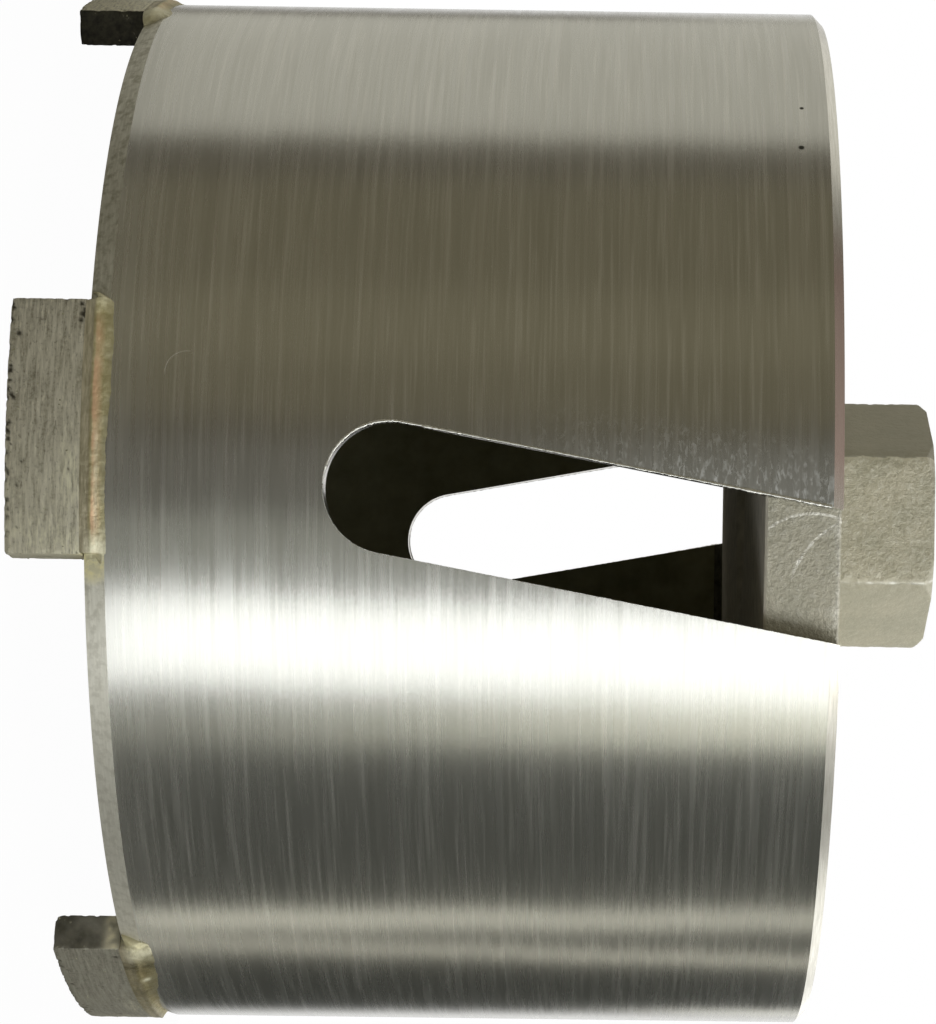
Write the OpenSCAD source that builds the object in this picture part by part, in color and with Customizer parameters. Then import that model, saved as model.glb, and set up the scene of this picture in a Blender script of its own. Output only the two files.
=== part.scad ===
// Diamond core bit for dry drilling: a slotted steel barrel, a hub with a hexagon
// and a threaded hole, and brazed diamond segments. It stands on its segments, hub up.

/* [Barrel] */
// Outer diameter of the barrel
barrel_d = 101; // [60:1:160]
// Wall of the barrel
wall = 2.5; // [2:0.1:4]
// Length of the barrel, from its mouth to its back face
barrel_len = 64; // [50:1:120]
// Length of the relief turned on the outside of the mouth
relief_len = 1.8; // [0.8:0.1:3]
// Depth of that relief at the mouth
relief_depth = 0.6; // [0.2:0.1:1]
// Bevel on the inner edge of the mouth
mouth_bevel = 0.6; // [0.2:0.1:1]
// Bevel on the outer edge of the back face
back_bevel = 0.9; // [0.3:0.1:1.5]

/* [Slots] */
// Number of slots, evenly spaced
slot_n = 2; // [2:1:3]
// Width of a slot
slot_w = 11.2; // [6:0.2:16]
// Lean of a slot from the barrel's axis, in degrees
slot_lean = 10.4; // [0:0.2:15]
// Reach of a slot from the back face to its round end
slot_reach = 43.8; // [25:0.2:46]

/* [Segments] */
// Number of diamond segments, evenly spaced
seg_n = 5; // [3:1:7]
// Length of a segment along its outer face
seg_len = 22; // [15:0.5:26]
// Thickness of a segment
seg_t = 3.2; // [3:0.1:5]
// Height of a segment
seg_h = 6.4; // [4:0.1:12]
// How far a segment stands out past the barrel
seg_proud = 0.45; // [0.2:0.05:0.8]
// Bevel on the cutting edges of a segment
seg_bevel = 0.25; // [0.1:0.05:0.5]
// Direction of the first segment's middle, in degrees from the first slot
seg_turn = -5.6; // [-36:0.2:36]

/* [Brazing] */
// Braze between the barrel and what is brazed to it
film = 0.1; // [0.05:0.05:0.2]
// Hollow of the braze fillets
fillet_dip = 0.12; // [0.05:0.01:0.2]
// Radius of the braze that runs out past the ends of a segment
run_out_r = 2.1; // [1:0.1:3]
// Leg of the braze fillet on the inside of the flange
flange_fillet = 0.9; // [0.4:0.1:1.5]

/* [Hub] */
// Thickness of the flange that closes the barrel
flange_t = 6.5; // [4:0.5:10]
// Bevels on the rim of the flange
flange_bevel = 0.2; // [0.2:0.1:1]
// Hexagon across its flats
hex_af = 22; // [19:1:32]
// Depth turned off each corner of the hexagon
hex_turned = 0.25; // [0.1:0.05:0.6]
// Height of the hexagon above the flange
hex_h = 12.1; // [8:0.1:20]
// Bevel turned on the end of the hexagon
hex_bevel = 0.8; // [0.5:0.1:1.5]
// Turned foot that blends the hexagon into the flange
foot_r = 0.8; // [0.3:0.1:1.5]
// Nominal diameter of the thread, at its root in the hub
thread_d = 16; // [12:1:18]
// Countersink at both ends of the thread
thread_sink = 0.8; // [0.3:0.1:1.2]

/* [Hidden] */

$fn = 96;
past = 1;            // how far a cutting shape runs past what it cuts
arc_steps = 8;       // straight lines in a fillet's arc

barrel_r = barrel_d / 2;
bore_r = barrel_r - wall;
mouth_z = seg_h + film;
back_z = mouth_z + barrel_len;

slot_end_z = back_z - slot_reach + slot_w / 2;
slot_run = (slot_reach + past) / cos(slot_lean);
first_slot = -90;

seg_out_r = barrel_r + seg_proud;
seg_in_r = seg_out_r - seg_t;
seg_arc = seg_len / seg_out_r * 180 / PI;
seg_half = seg_out_r * sin(seg_arc / 2);
seg_pitch = 360 / seg_n;
first_seg = first_slot + seg_turn;

flange_r = bore_r - film;
flange_z = back_z - flange_t;
hub_z = back_z + hex_h;
hex_corner_r = hex_af / 2 / cos(30);
hex_turned_r = hex_corner_r - hex_turned;

// Points of a hollow arc from a to b. It dips by dip to the left of the way from a to b.
function hollow_arc(a, b, dip) =
    let (
        chord = norm(b - a),
        along = (b - a) / chord,
        left = [-along.y, along.x]
    )
    [for (i = [0:arc_steps])
        let (t = i / arc_steps)
        a + along * chord * t + left * dip * 4 * t * (1 - t)];

// The barrel: a tube turned at both ends, with leaning slots that are open at the back

module barrel_section() {
    polygon([
        [bore_r + mouth_bevel, mouth_z],
        [barrel_r - relief_depth, mouth_z],
        [barrel_r, mouth_z + relief_len],
        [barrel_r, back_z - back_bevel],
        [barrel_r - back_bevel, back_z],
        [bore_r + flange_bevel, back_z],
        [bore_r, back_z - flange_bevel],
        [bore_r, mouth_z + mouth_bevel]
    ]);
}

module slot_outline() {
    circle(d = slot_w);
    translate([-slot_w / 2, 0]) square([slot_w, slot_run]);
}

// Straight cuts through the wall, each square to the wall at its own round end
module slots() {
    for (i = [0:slot_n - 1])
        rotate(first_slot + i * 360 / slot_n)
            translate([0, 0, slot_end_z])
                rotate([90, 0, 90])
                    linear_extrude(height = barrel_r + past)
                        rotate(-slot_lean)
                            slot_outline();
}

module barrel() {
    color("#8f8c80")
        difference() {
            rotate_extrude() barrel_section();
            slots();
        }
}

// The hub: one forging, a flange and a hexagon, bored right through for the thread

module flange() {
    rotate_extrude()
        polygon([
            [0, flange_z],
            [flange_r - flange_bevel, flange_z],
            [flange_r, flange_z + flange_bevel],
            [flange_r, back_z - flange_bevel],
            [flange_r - flange_bevel, back_z],
            [0, back_z]
        ]);
}

// The hexagon's corners are turned down, and its end is bevelled as on a nut
module hexagon() {
    intersection() {
        translate([0, 0, flange_z + flange_t / 2])
            cylinder(r = hex_corner_r, h = hub_z - flange_z - flange_t / 2, $fn = 6);
        rotate_extrude()
            polygon([
                [0, flange_z],
                [hex_turned_r, flange_z],
                [hex_turned_r, hub_z - hex_bevel],
                [hex_turned_r - hex_bevel, hub_z],
                [0, hub_z]
            ]);
    }
}

// The foot runs out into the flats a little above the flange
module foot() {
    foot_in_r = hex_af / 2 - foot_r / 8;
    rotate_extrude()
        polygon(concat(
            hollow_arc([hex_turned_r + foot_r, back_z], [foot_in_r, back_z + 2 * foot_r], foot_r / 2),
            [[0, back_z + 2 * foot_r], [0, back_z - foot_r], [hex_turned_r + foot_r, back_z - foot_r]]
        ));
}

module thread_hole() {
    thread_r = thread_d / 2;
    translate([0, 0, flange_z - past]) cylinder(r = thread_r, h = hub_z - flange_z + 2 * past);
    translate([0, 0, flange_z]) sink();
    translate([0, 0, hub_z]) mirror([0, 0, 1]) sink();
}

// A countersink that opens downwards
module sink() {
    thread_r = thread_d / 2;
    rotate_extrude()
        polygon([
            [0, -past],
            [thread_r + thread_sink + past, -past],
            [thread_r, thread_sink],
            [0, thread_sink]
        ]);
}

module hub() {
    color("#a19d8d")
        difference() {
            union() {
                flange();
                hexagon();
                foot();
            }
            thread_hole();
        }
}

// The segments: sintered arcs with parallel ends and bevelled cutting edges

module segment_section() {
    polygon([
        [seg_in_r + seg_bevel, 0],
        [seg_out_r - seg_bevel, 0],
        [seg_out_r, seg_bevel],
        [seg_out_r, seg_h],
        [seg_in_r, seg_h],
        [seg_in_r, seg_bevel]
    ]);
}

module segment(i) {
    seg_span = 2 * asin(seg_half / seg_in_r) + 1;
    color("#7c786c")
        rotate(first_seg + i * seg_pitch)
            intersection() {
                rotate(-seg_span / 2) rotate_extrude(angle = seg_span) segment_section();
                translate([0, -seg_half, -past]) cube([seg_out_r + past, 2 * seg_half, seg_h + 2 * past]);
            }
}

// The braze under a segment: a film on the mouth, with a hollow fillet on each side

module braze_section() {
    polygon(concat(
        hollow_arc([barrel_r, mouth_z + relief_len], [seg_out_r, seg_h], -fillet_dip),
        hollow_arc([seg_in_r, seg_h], [bore_r, mouth_z + mouth_bevel], -fillet_dip),
        [[bore_r + mouth_bevel, mouth_z], [barrel_r - relief_depth, mouth_z]]
    ));
}

// The fillets run a little way past both ends of the segment, and end round there
module segment_braze(i) {
    reach = asin(run_out_r / barrel_r);
    color("#b09a5c")
        rotate(first_seg + i * seg_pitch)
            intersection() {
                rotate(-seg_arc / 2 - reach)
                    rotate_extrude(angle = seg_arc + 2 * reach) braze_section();
                union() {
                    rotate(-seg_arc / 2)
                        rotate_extrude(angle = seg_arc)
                            translate([seg_in_r - past, 0])
                                square([seg_t + 2 * past, mouth_z + relief_len + past]);
                    for (side = [-1, 1])
                        rotate(side * seg_arc / 2)
                            translate([barrel_r - relief_depth, 0, mouth_z])
                                sphere(r = run_out_r);
                }
            }
}

// The braze round the flange: a film on its rim, a fillet inside and a filled groove outside

module flange_braze_section() {
    inner_end = [flange_r - flange_bevel - flange_fillet, flange_z];
    wall_end = [bore_r, flange_z - flange_fillet];
    polygon(concat(
        [
            [bore_r, back_z - flange_bevel],
            [bore_r + flange_bevel, back_z],
            [flange_r - flange_bevel, back_z],
            [flange_r, back_z - flange_bevel],
            [flange_r, flange_z + flange_bevel],
            [flange_r - flange_bevel, flange_z]
        ],
        hollow_arc(inner_end, wall_end, fillet_dip)
    ));
}

// One stretch of it lies between each slot and the next
module hub_braze(i) {
    slot_drift = (back_z - flange_t / 2 - slot_end_z) * tan(slot_lean);
    slot_angle = first_slot + asin(slot_drift / barrel_r);
    color("#b8a470")
        difference() {
            rotate(slot_angle + i * 360 / slot_n)
                rotate_extrude(angle = 360 / slot_n) flange_braze_section();
            slots();
        }
}

barrel();
hub();
segment(0);  // segment_1
segment(1);  // segment_2
segment(2);  // segment_3
segment(3);  // segment_4
segment(4);  // segment_5
segment_braze(0);  // segment_braze_1
segment_braze(1);  // segment_braze_2
segment_braze(2);  // segment_braze_3
segment_braze(3);  // segment_braze_4
segment_braze(4);  // segment_braze_5
hub_braze(0);  // hub_braze_1
hub_braze(1);  // hub_braze_2
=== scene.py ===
# %% [markdown]
# # A diamond core bit
# A core bit is a short steel tube that cuts a round hole in masonry. Diamond segments
# are brazed to its mouth, leaning slots let the dust out, and a hub with a hexagon and a
# thread closes its back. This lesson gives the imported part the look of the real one.
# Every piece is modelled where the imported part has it, in metres, with +Z up.

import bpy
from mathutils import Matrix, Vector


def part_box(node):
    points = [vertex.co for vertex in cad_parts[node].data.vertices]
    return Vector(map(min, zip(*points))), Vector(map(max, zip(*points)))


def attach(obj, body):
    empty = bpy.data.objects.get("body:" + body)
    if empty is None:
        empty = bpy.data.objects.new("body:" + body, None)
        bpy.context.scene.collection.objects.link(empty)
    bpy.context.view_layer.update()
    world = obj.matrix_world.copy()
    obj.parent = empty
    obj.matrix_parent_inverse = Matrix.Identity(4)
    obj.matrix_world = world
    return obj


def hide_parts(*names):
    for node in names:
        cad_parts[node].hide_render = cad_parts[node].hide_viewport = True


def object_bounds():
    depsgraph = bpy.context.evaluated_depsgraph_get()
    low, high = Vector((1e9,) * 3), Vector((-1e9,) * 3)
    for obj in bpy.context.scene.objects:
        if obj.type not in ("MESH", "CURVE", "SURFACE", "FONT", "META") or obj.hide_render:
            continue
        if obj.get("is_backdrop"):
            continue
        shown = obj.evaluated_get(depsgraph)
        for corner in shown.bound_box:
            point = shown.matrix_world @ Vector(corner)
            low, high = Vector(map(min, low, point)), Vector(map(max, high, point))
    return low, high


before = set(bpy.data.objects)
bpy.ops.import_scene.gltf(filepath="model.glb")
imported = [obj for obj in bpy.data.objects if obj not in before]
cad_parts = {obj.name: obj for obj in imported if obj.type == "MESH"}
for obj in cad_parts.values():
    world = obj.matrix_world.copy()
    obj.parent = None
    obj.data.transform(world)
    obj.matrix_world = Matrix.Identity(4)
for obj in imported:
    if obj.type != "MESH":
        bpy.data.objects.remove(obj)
cad_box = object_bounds()
print("packed nodes:", sorted(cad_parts))

# %% [markdown]
# ## Sizes
# A scene can't read the part's source, so the sizes that its pieces follow stand here,
# in millimetres. The barrel's and the flange's sizes are read back from the imported nodes and printed.

# %% Sizes of the part
import math
import random

import bmesh
import bpy
from mathutils import Matrix, Vector, noise

MM = 0.001
BARREL_R = 50.5
BORE_R = 48.0
MOUTH_Z = 6.5
BACK_Z = 70.5
RELIEF_LEN = 1.8
RELIEF_DEPTH = 0.6
MOUTH_BEVEL = 0.6
BACK_BEVEL = 0.9
SLOT_W = 11.2
SLOT_LEAN = math.radians(10.4)
SLOT_END_Z = 32.2
SEG_OUT_R = 50.95
SEG_IN_R = 47.75
SEG_H = 6.4
SEG_LEN = 22.0
FIRST_SEG = math.radians(-95.6)
SEG_COUNT = 5
FLANGE_R = 47.9
FLANGE_Z = 64.0
FLANGE_BEVEL = 0.2
HEX_FLAT = 11.0
HEX_TURNED_R = HEX_FLAT / math.cos(math.radians(30)) - 0.25
HUB_Z = 82.6
HEX_BEVEL = 0.8
FOOT_R = 0.8
THREAD_R = 8.0
THREAD_SINK = 0.8
THREAD_PITCH = 2.0

low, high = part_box("barrel")
print("barrel radius", round(high.x / MM, 3), "mouth", round(low.z / MM, 3), "back", round(high.z / MM, 3))
low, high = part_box("hub")
print("flange radius", round(high.x / MM, 3), "from", round(low.z / MM, 3), "to", round(high.z / MM, 3))

# %% [markdown]
# ## Camera
# The photograph was taken with the bit's axis lying across the picture. The part stands
# up, so the camera is turned on its side instead. Its place comes from a fit of the rims,
# the slots and the segments, and the shift says that the picture isn't centred on the
# point the lens looked at.

# %% The camera
IMAGE_WIDTH, IMAGE_HEIGHT = 936, 1024
SENSOR = 36.0
FOCAL_PX = 2800.41
LOOKED_AT = (634.65, 718.46)
CAMERA_AT = Vector((15.093, -286.034, 51.202)) * MM
PICTURE_RIGHT = Vector((-0.01349, -0.00773, 0.99988))
PICTURE_DOWN = Vector((0.99976, -0.01728, 0.01336))


def add_object(name, data):
    """A new object in the scene for a mesh, a light or a lens."""
    made = bpy.data.objects.new(name, data)
    bpy.context.scene.collection.objects.link(made)
    return made


lens = bpy.data.cameras.new("camera")
lens.sensor_width = SENSOR
lens.lens = FOCAL_PX / IMAGE_HEIGHT * SENSOR
lens.shift_x = -(LOOKED_AT[0] - IMAGE_WIDTH / 2) / IMAGE_HEIGHT
lens.shift_y = (LOOKED_AT[1] - IMAGE_HEIGHT / 2) / IMAGE_HEIGHT
lens.clip_start = 0.01
lens.clip_end = 50.0
camera = add_object("camera", lens)
right = PICTURE_RIGHT.normalized()
up = -(PICTURE_DOWN - PICTURE_DOWN.project(right)).normalized()
turned = Matrix((right, up, right.cross(up))).transposed()
camera.matrix_world = Matrix.Translation(CAMERA_AT) @ turned.to_4x4()
bpy.context.scene.camera = camera
bpy.context.scene.view_settings.view_transform = "Standard"
print("lens", round(lens.lens, 2), "mm, shift", round(lens.shift_x, 3), round(lens.shift_y, 3))

# %% [markdown]
# ## Helpers for node trees
# Every finish below is a small node tree. Building it in code by hand takes a line for
# each node, each value and each wire. A helper that does all three in one call keeps a tree
# short enough to read.

# %% Node helpers
def set_inputs(node, inputs):
    """Wires each input that is given a socket, and sets each that is given a value."""
    for key, value in inputs.items():
        if isinstance(value, bpy.types.NodeSocket):
            node.id_data.links.new(value, node.inputs[key])
        else:
            node.inputs[key].default_value = value


def add_node(tree, kind, inputs=None, **settings):
    made = tree.nodes.new(kind)
    for name, value in settings.items():
        setattr(made, name, value)
    set_inputs(made, inputs or {})
    return made


print("helpers that add nodes ready")

# %% [markdown]
# ## Arithmetic in a tree
# Marks and tones are sums and products of patterns, and a tree needs one maths node for
# each step. These helpers let the script write them like a formula: times and plus take as
# many values as there are, and ramp turns a span of one value into a share of another. As
# every socket knows its tree, they find the tree in the first socket that they are given.

# %% Arithmetic helpers
def tree_of(*values):
    """The tree of the first socket among these values."""
    return next(value.id_data for value in values if isinstance(value, bpy.types.NodeSocket))


def do_math(operation, a, b):
    return add_node(tree_of(a, b), "ShaderNodeMath", {0: a, 1: b}, operation=operation).outputs[0]


def times(product, *factors):
    for factor in factors:
        product = do_math("MULTIPLY", product, factor)
    return product


def plus(total, *terms):
    for term in terms:
        total = do_math("ADD", total, term)
    return total


def do_vector(operation, a, b=(0.0, 0.0, 0.0)):
    return add_node(tree_of(a, b), "ShaderNodeVectorMath", {0: a, 1: b}, operation=operation).outputs[0]


def scale_vector(vector, factor):
    inputs = {0: vector, "Scale": factor}
    return add_node(tree_of(vector), "ShaderNodeVectorMath", inputs, operation="SCALE").outputs[0]


def ramp(value, low, high, to_low=0.0, to_high=1.0):
    """Maps low to high onto to_low to to_high, and holds it there beyond the ends."""
    inputs = {0: value, 1: low, 2: high, 3: to_low, 4: to_high}
    return add_node(tree_of(value), "ShaderNodeMapRange", inputs).outputs[0]


print("helpers for arithmetic ready")

# %% [markdown]
# ## Helpers for finishes
# A worn metal is a few tones over each other, each where some pattern says so. So the
# finishes share four steps: a noise in the object's own coordinates, which stays on the
# piece when it moves, a mix of two tones by that noise, more tones painted over them, and
# a bump. Noise stretched by three different scales gives the lines that tools leave.

# %% Finish helpers
def object_place(tree):
    return add_node(tree, "ShaderNodeTexCoord").outputs["Object"]


def grain(tree, scale, detail=2.0, roughness=0.5, move=(0.0, 0.0, 0.0), distortion=0.0):
    """Noise on the object. scale is one number, or three where the noise is stretched."""
    stretched = isinstance(scale, tuple)
    mapping = {0: object_place(tree), 1: move, 3: scale if stretched else (1.0, 1.0, 1.0)}
    return add_node(tree, "ShaderNodeTexNoise", {
        "Vector": add_node(tree, "ShaderNodeMapping", mapping).outputs[0],
        "Scale": 1.0 if stretched else scale,
        "Detail": detail,
        "Roughness": roughness,
        "Distortion": distortion,
    }).outputs["Fac"]


def read_mark(tree, name):
    """A number that the mesh carries at each of its points."""
    return add_node(tree, "ShaderNodeAttribute", attribute_name=name).outputs["Fac"]


def mix_colour(share, a, b):
    a, b = [(*c, 1.0) if isinstance(c, tuple) else c for c in (a, b)]
    inputs = {0: share, 6: a, 7: b}
    return add_node(tree_of(share, a, b), "ShaderNodeMix", inputs, data_type="RGBA").outputs[2]


def two_tones(pattern, dark, pale, low=0.3, high=0.7):
    return mix_colour(ramp(pattern, low, high), dark, pale)


def paint(tone, coats):
    """Lays coats over a tone, one after the other. Each is a share and a colour."""
    for share, colour in coats:
        tone = mix_colour(share, tone, colour)
    return tone


def bump(height, strength, distance, **more):
    inputs = {"Strength": strength, "Distance": distance, "Height": height, **more}
    return add_node(tree_of(height), "ShaderNodeBump", inputs).outputs[0]


print("helpers for patterns and tones ready")

# %% [markdown]
# ## Starting a finish
# Every metal here is one principled shader. So a finish starts with that shader and plain
# values, and nodes are wired to what varies. The plainer finishes differ only in their
# numbers: one noise mixes two tones and raises the surface, so one function makes them all.

# %% Material helpers
def start_material(name, colour, metallic, roughness):
    material = bpy.data.materials.new(name)
    material.use_nodes = True
    tree = material.node_tree
    tree.nodes.clear()
    shader = add_node(tree, "ShaderNodeBsdfPrincipled", {
        "Base Color": (*colour, 1.0), "Metallic": metallic, "Roughness": roughness})
    add_node(tree, "ShaderNodeOutputMaterial", {0: shader.outputs[0]})
    return material, tree, shader


def mottled_material(name, colour, metallic, roughness, noise_values, tones, bump_values):
    """A plain finish, for a surface with no marks of its own."""
    material, tree, shader = start_material(name, colour, metallic, roughness)
    pattern = grain(tree, *noise_values)
    set_inputs(shader, {"Base Color": two_tones(pattern, *tones), "Normal": bump(pattern, *bump_values)})
    return material, shader, pattern


print("helpers for materials ready")

# %% [markdown]
# ## Floor
# The bit was photographed on white paper. A floor lit to full white would flood the metal
# with light from below, so the floor is white only for rays that come from the camera or
# pass through something. The metal gets a share of that white, and the floor keeps part
# of its own shading, so the bit still throws a soft shadow on it.

# %% The floor
PAPER = (0.36, 0.355, 0.34)
WHITE = (1.0, 1.0, 1.0)
WHITE_SHARE = 0.98
GLOSSY_SHARE = 0.02
FLOOR_R = 0.075
FLOOR_CORNERS = 64


def seen_as_white(tree, glossy_share):
    path = add_node(tree, "ShaderNodeLightPath").outputs
    seen = do_math("MAXIMUM", path["Is Camera Ray"], path["Is Transmission Ray"])
    return do_math("MAXIMUM", seen, times(path["Is Glossy Ray"], glossy_share))


def new_mesh(name, points, faces, edges=()):
    mesh = bpy.data.meshes.new(name)
    mesh.from_pydata(points, edges, faces)
    return mesh


turns = [k * math.tau / FLOOR_CORNERS for k in range(FLOOR_CORNERS)]
ring = [(FLOOR_R * math.cos(turn), FLOOR_R * math.sin(turn), 0.0) for turn in turns]
floor = add_object("floor", new_mesh("floor", ring, [list(range(FLOOR_CORNERS))]))
floor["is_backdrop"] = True

paper = bpy.data.materials.new("white_paper")
paper.use_nodes = True
tree = paper.node_tree
tree.nodes.clear()
diffuse = add_node(tree, "ShaderNodeBsdfDiffuse", {"Color": (*PAPER, 1.0)})
glow = add_node(tree, "ShaderNodeEmission", {"Color": (*WHITE, 1.0), "Strength": 1.0})
share = times(seen_as_white(tree, GLOSSY_SHARE), WHITE_SHARE)
blend = add_node(tree, "ShaderNodeMixShader", {0: share, 1: diffuse.outputs[0], 2: glow.outputs[0]})
add_node(tree, "ShaderNodeOutputMaterial", {0: blend.outputs[0]})
floor.data.materials.append(paper)
print("floor radius", FLOOR_R, "m")

# %% [markdown]
# ## Room
# Behind the bit the camera sees the same white. The rest of the room is dim: a warm grey
# on one side and a cooler, darker one on the other, which is what the tube's dark bands
# mirror. A world shader can tell these apart by the direction alone, so it needs no walls.

# %% The room
ROOM_LEFT = (0.112, 0.100, 0.076)
ROOM_RIGHT = (0.058, 0.060, 0.054)
world = bpy.data.worlds.new("room")
bpy.context.scene.world = world
world.use_nodes = True
tree = world.node_tree
tree.nodes.clear()
direction = add_node(tree, "ShaderNodeTexCoord").outputs["Generated"]
across = add_node(tree, "ShaderNodeSeparateXYZ", {0: direction}).outputs
glossy = add_node(tree, "ShaderNodeLightPath").outputs["Is Glossy Ray"]
behind = times(ramp(across[1], 0.86, 0.94), glossy)
white = do_math("MAXIMUM", seen_as_white(tree, 0.0), behind)
room = mix_colour(ramp(across[0], -0.1, 0.4), ROOM_LEFT, ROOM_RIGHT)
back = add_node(tree, "ShaderNodeBackground", {"Color": mix_colour(white, room, WHITE), "Strength": 1.0})
add_node(tree, "ShaderNodeOutputWorld", {0: back.outputs[0]})
print("room tones", ROOM_LEFT, ROOM_RIGHT)

# %% [markdown]
# ## Lights
# A turned tube is a mirror that is curved one way, so each lamp shows as a band along it.
# The photograph has a bright band low on the tube, a wide pale one at its top and two
# thin ones near its lower edge. Each band gives the direction and the width of one tall
# soft lamp. The lamps at the back are for the bevels and the braze, which face elsewhere.

# %% Soft lamps
LAMPS_AIM = Vector((0.0, 0.0, 0.045))


def soft_lamp(name, azimuth, elevation, width, height, radiance, colour, lean=0.0, distance=1.0):
    """A soft box that faces the bit. lean turns it about its own axis, in degrees."""
    a, e = math.radians(azimuth), math.radians(elevation)
    away = Vector((math.sin(a) * math.cos(e), -math.cos(a) * math.cos(e), math.sin(e)))
    light = bpy.data.lights.new(name, "AREA")
    light.shape = "RECTANGLE"
    light.size = width
    light.size_y = height
    light.color = colour
    light.energy = radiance * math.pi * width * height
    lamp = add_object(name, light)
    lamp.location = LAMPS_AIM + away * distance
    turned = (-away).to_track_quat("-Z", "Y").to_matrix()
    lamp.rotation_euler = (turned @ Matrix.Rotation(math.radians(lean), 3, "Z")).to_euler()
    lamp.visible_camera = False
    print(name, "at", azimuth, "degrees,", round(light.energy, 2), "W")


print("lamps aim at", tuple(LAMPS_AIM))

# %% [markdown]
# ## Where the lamps stand
# Each row is one lamp. Its values were found by comparing the bands of a render with the
# bands of the photograph. An azimuth of 0 is straight in front, and a positive one is
# towards +X, which is downwards in the picture.

# %% The lamps
# name, azimuth from the front, elevation, width, height, radiance, colour, lean, distance
LAMPS = [
    ("key_lamp", 30.4, 0.0, 0.345, 2.2, 2.02, (0.97, 0.99, 1.0), -11.5),
    ("key_low", 9.5, -12.0, 0.24, 0.9, 0.26, (0.96, 1.0, 0.92)),
    ("key_high", 46.0, 24.0, 0.20, 1.0, 1.15, (1.0, 1.0, 0.85)),
    ("left_wall", -114.6, 0.0, 1.12, 2.2, 0.44, (1.0, 1.0, 0.92), -3.0),
    ("left_fill", -46.0, 8.0, 1.10, 2.0, 0.062, (1.0, 0.91, 0.50)),
    ("left_glow", -38.0, 6.0, 0.28, 2.0, 0.038, (1.0, 0.93, 0.65)),
    ("wall_edge", -147.5, 16.0, 0.10, 0.5, 0.42, (1.0, 1.0, 0.92)),
    ("low_fill", 70.0, 2.0, 0.72, 2.0, 0.030, (1.0, 1.0, 0.92)),
    ("right_strip", 99.2, 0.0, 0.11, 1.8, 0.92, (1.0, 0.98, 0.86), 10.0),
    ("right_second", 113.2, 0.0, 0.075, 1.6, 0.90, (1.0, 0.97, 0.84), -17.0),
    ("right_edge", 148.0, 12.0, 0.14, 0.36, 0.80, (1.0, 0.99, 0.92)),
    ("high_lamp", 50.0, 60.0, 0.9, 0.9, 1.45, (1.0, 1.0, 0.97)),
    ("front_fill", -5.0, 20.0, 0.30, 1.2, 0.10, (0.88, 0.96, 1.0)),
    ("top_lamp", 20.0, 84.0, 1.0, 1.0, 0.20, (1.0, 1.0, 0.97)),
    ("bevel_lamp", 123.0, 76.0, 0.34, 0.12, 2.60, (1.0, 1.0, 0.97)),
    ("back_left", -152.0, 36.0, 0.7, 0.7, 0.44, (1.0, 1.0, 0.97)),
    ("back_right", 148.0, 44.0, 0.45, 0.6, 0.68, (1.0, 1.0, 0.97)),
    ("near_card", 135.0, 35.0, 0.14, 0.11, 0.90, (1.0, 1.0, 0.97), 0.0, 0.18),
]
for lamp_values in LAMPS:
    soft_lamp(*lamp_values)

# %% [markdown]
# ## Ground steel
# The tube was ground while it turned, so its marks run round it. Fine marks do two things:
# they spread a reflection along the axis, which the shader's anisotropy gives, and they
# tilt the surface a little, line by line, which breaks the edges of each reflection into
# streaks. The tilt is added to the normal itself, because a height map fine enough for
# such lines would tilt the surface far too much the other way.

# %% Ground lines
def turned_round(tree, shader, anisotropy):
    """Spreads reflections across marks that run round the axis."""
    flat = do_vector("MULTIPLY", object_place(tree), (1.0, 1.0, 0.0))
    swing = do_vector("NORMALIZE", do_vector("CROSS_PRODUCT", (0.0, 0.0, 1.0), flat))
    normal = add_node(tree, "ShaderNodeNewGeometry").outputs["Normal"]
    tangent = do_vector("CROSS_PRODUCT", normal, swing)
    set_inputs(shader, {"Anisotropic": anisotropy, "Tangent": tangent})
    return swing, normal


def tilted(normal, swing, parts):
    """Leans the normal to and fro along the swing, by each pattern's own amount."""
    for pattern, amount in parts:
        lean = times(do_math("SUBTRACT", pattern, 0.5), amount)
        normal = do_vector("ADD", normal, scale_vector(swing, lean))
    return do_vector("NORMALIZE", normal)


ground_steel, tree, shader = start_material("ground_steel", (0.60, 0.595, 0.555), 1.0, 0.30)
swing, normal = turned_round(tree, shader, 0.75)
fine_lines = grain(tree, (110.0, 110.0, 3300.0), 2.0, 0.65)
long_lines = grain(tree, (30.0, 30.0, 1500.0), 3.0, 0.6, (3.0, 1.0, 7.0))
broad = grain(tree, (30.0, 30.0, 160.0), move=(1.0, 5.0, 2.0))
frost = grain(tree, 3300.0)
cuts = grain(tree, (60.0, 60.0, 2300.0), 2.0, 0.7, (9.0, 2.0, 4.0))
leans = [(fine_lines, 0.022), (long_lines, 0.020), (broad, 0.02), (frost, 0.022)]
set_inputs(shader, {"Normal": tilted(normal, swing, leans)})
streaks = plus(times(fine_lines, 0.35), times(long_lines, 0.65))
print("patterns of the ground tube:", len(leans) + 1)

# %% [markdown]
# ## Marks of use on the tube
# The photograph shows two small dents near the back and one curved scratch between the mouth
# and the slot. The dents have no shape of their own, so their dark look is painted shade.
# They could be painted on a map, but a mark this simple is also found by its distance from
# a spot on the object, which stays sharp at any size.

# %% Dents and scratch
def distance_from(tree, spot):
    """Distance of the shaded point from a spot that is given in millimetres."""
    inputs = {0: object_place(tree), 1: tuple(c * MM for c in spot)}
    return add_node(tree, "ShaderNodeVectorMath", inputs, operation="DISTANCE").outputs["Value"]


def round_mark(tree, spot, inner, outer, share=1.0):
    """A soft round mark: full up to the inner radius, gone at the outer one."""
    return ramp(distance_from(tree, spot), inner * MM, outer * MM, share, 0.0)


def ring_mark(tree, centre, radius, width, middle, reach):
    """A thin arc: the part of a sphere's skin that lies near the spot called middle."""
    off = do_math("SUBTRACT", distance_from(tree, centre), radius * MM)
    off = do_math("ABSOLUTE", off, 0.0)
    line = ramp(off, width * 0.4 * MM, width * MM, 1.0, 0.0)
    return times(line, round_mark(tree, middle, reach * 0.7, reach))


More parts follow.
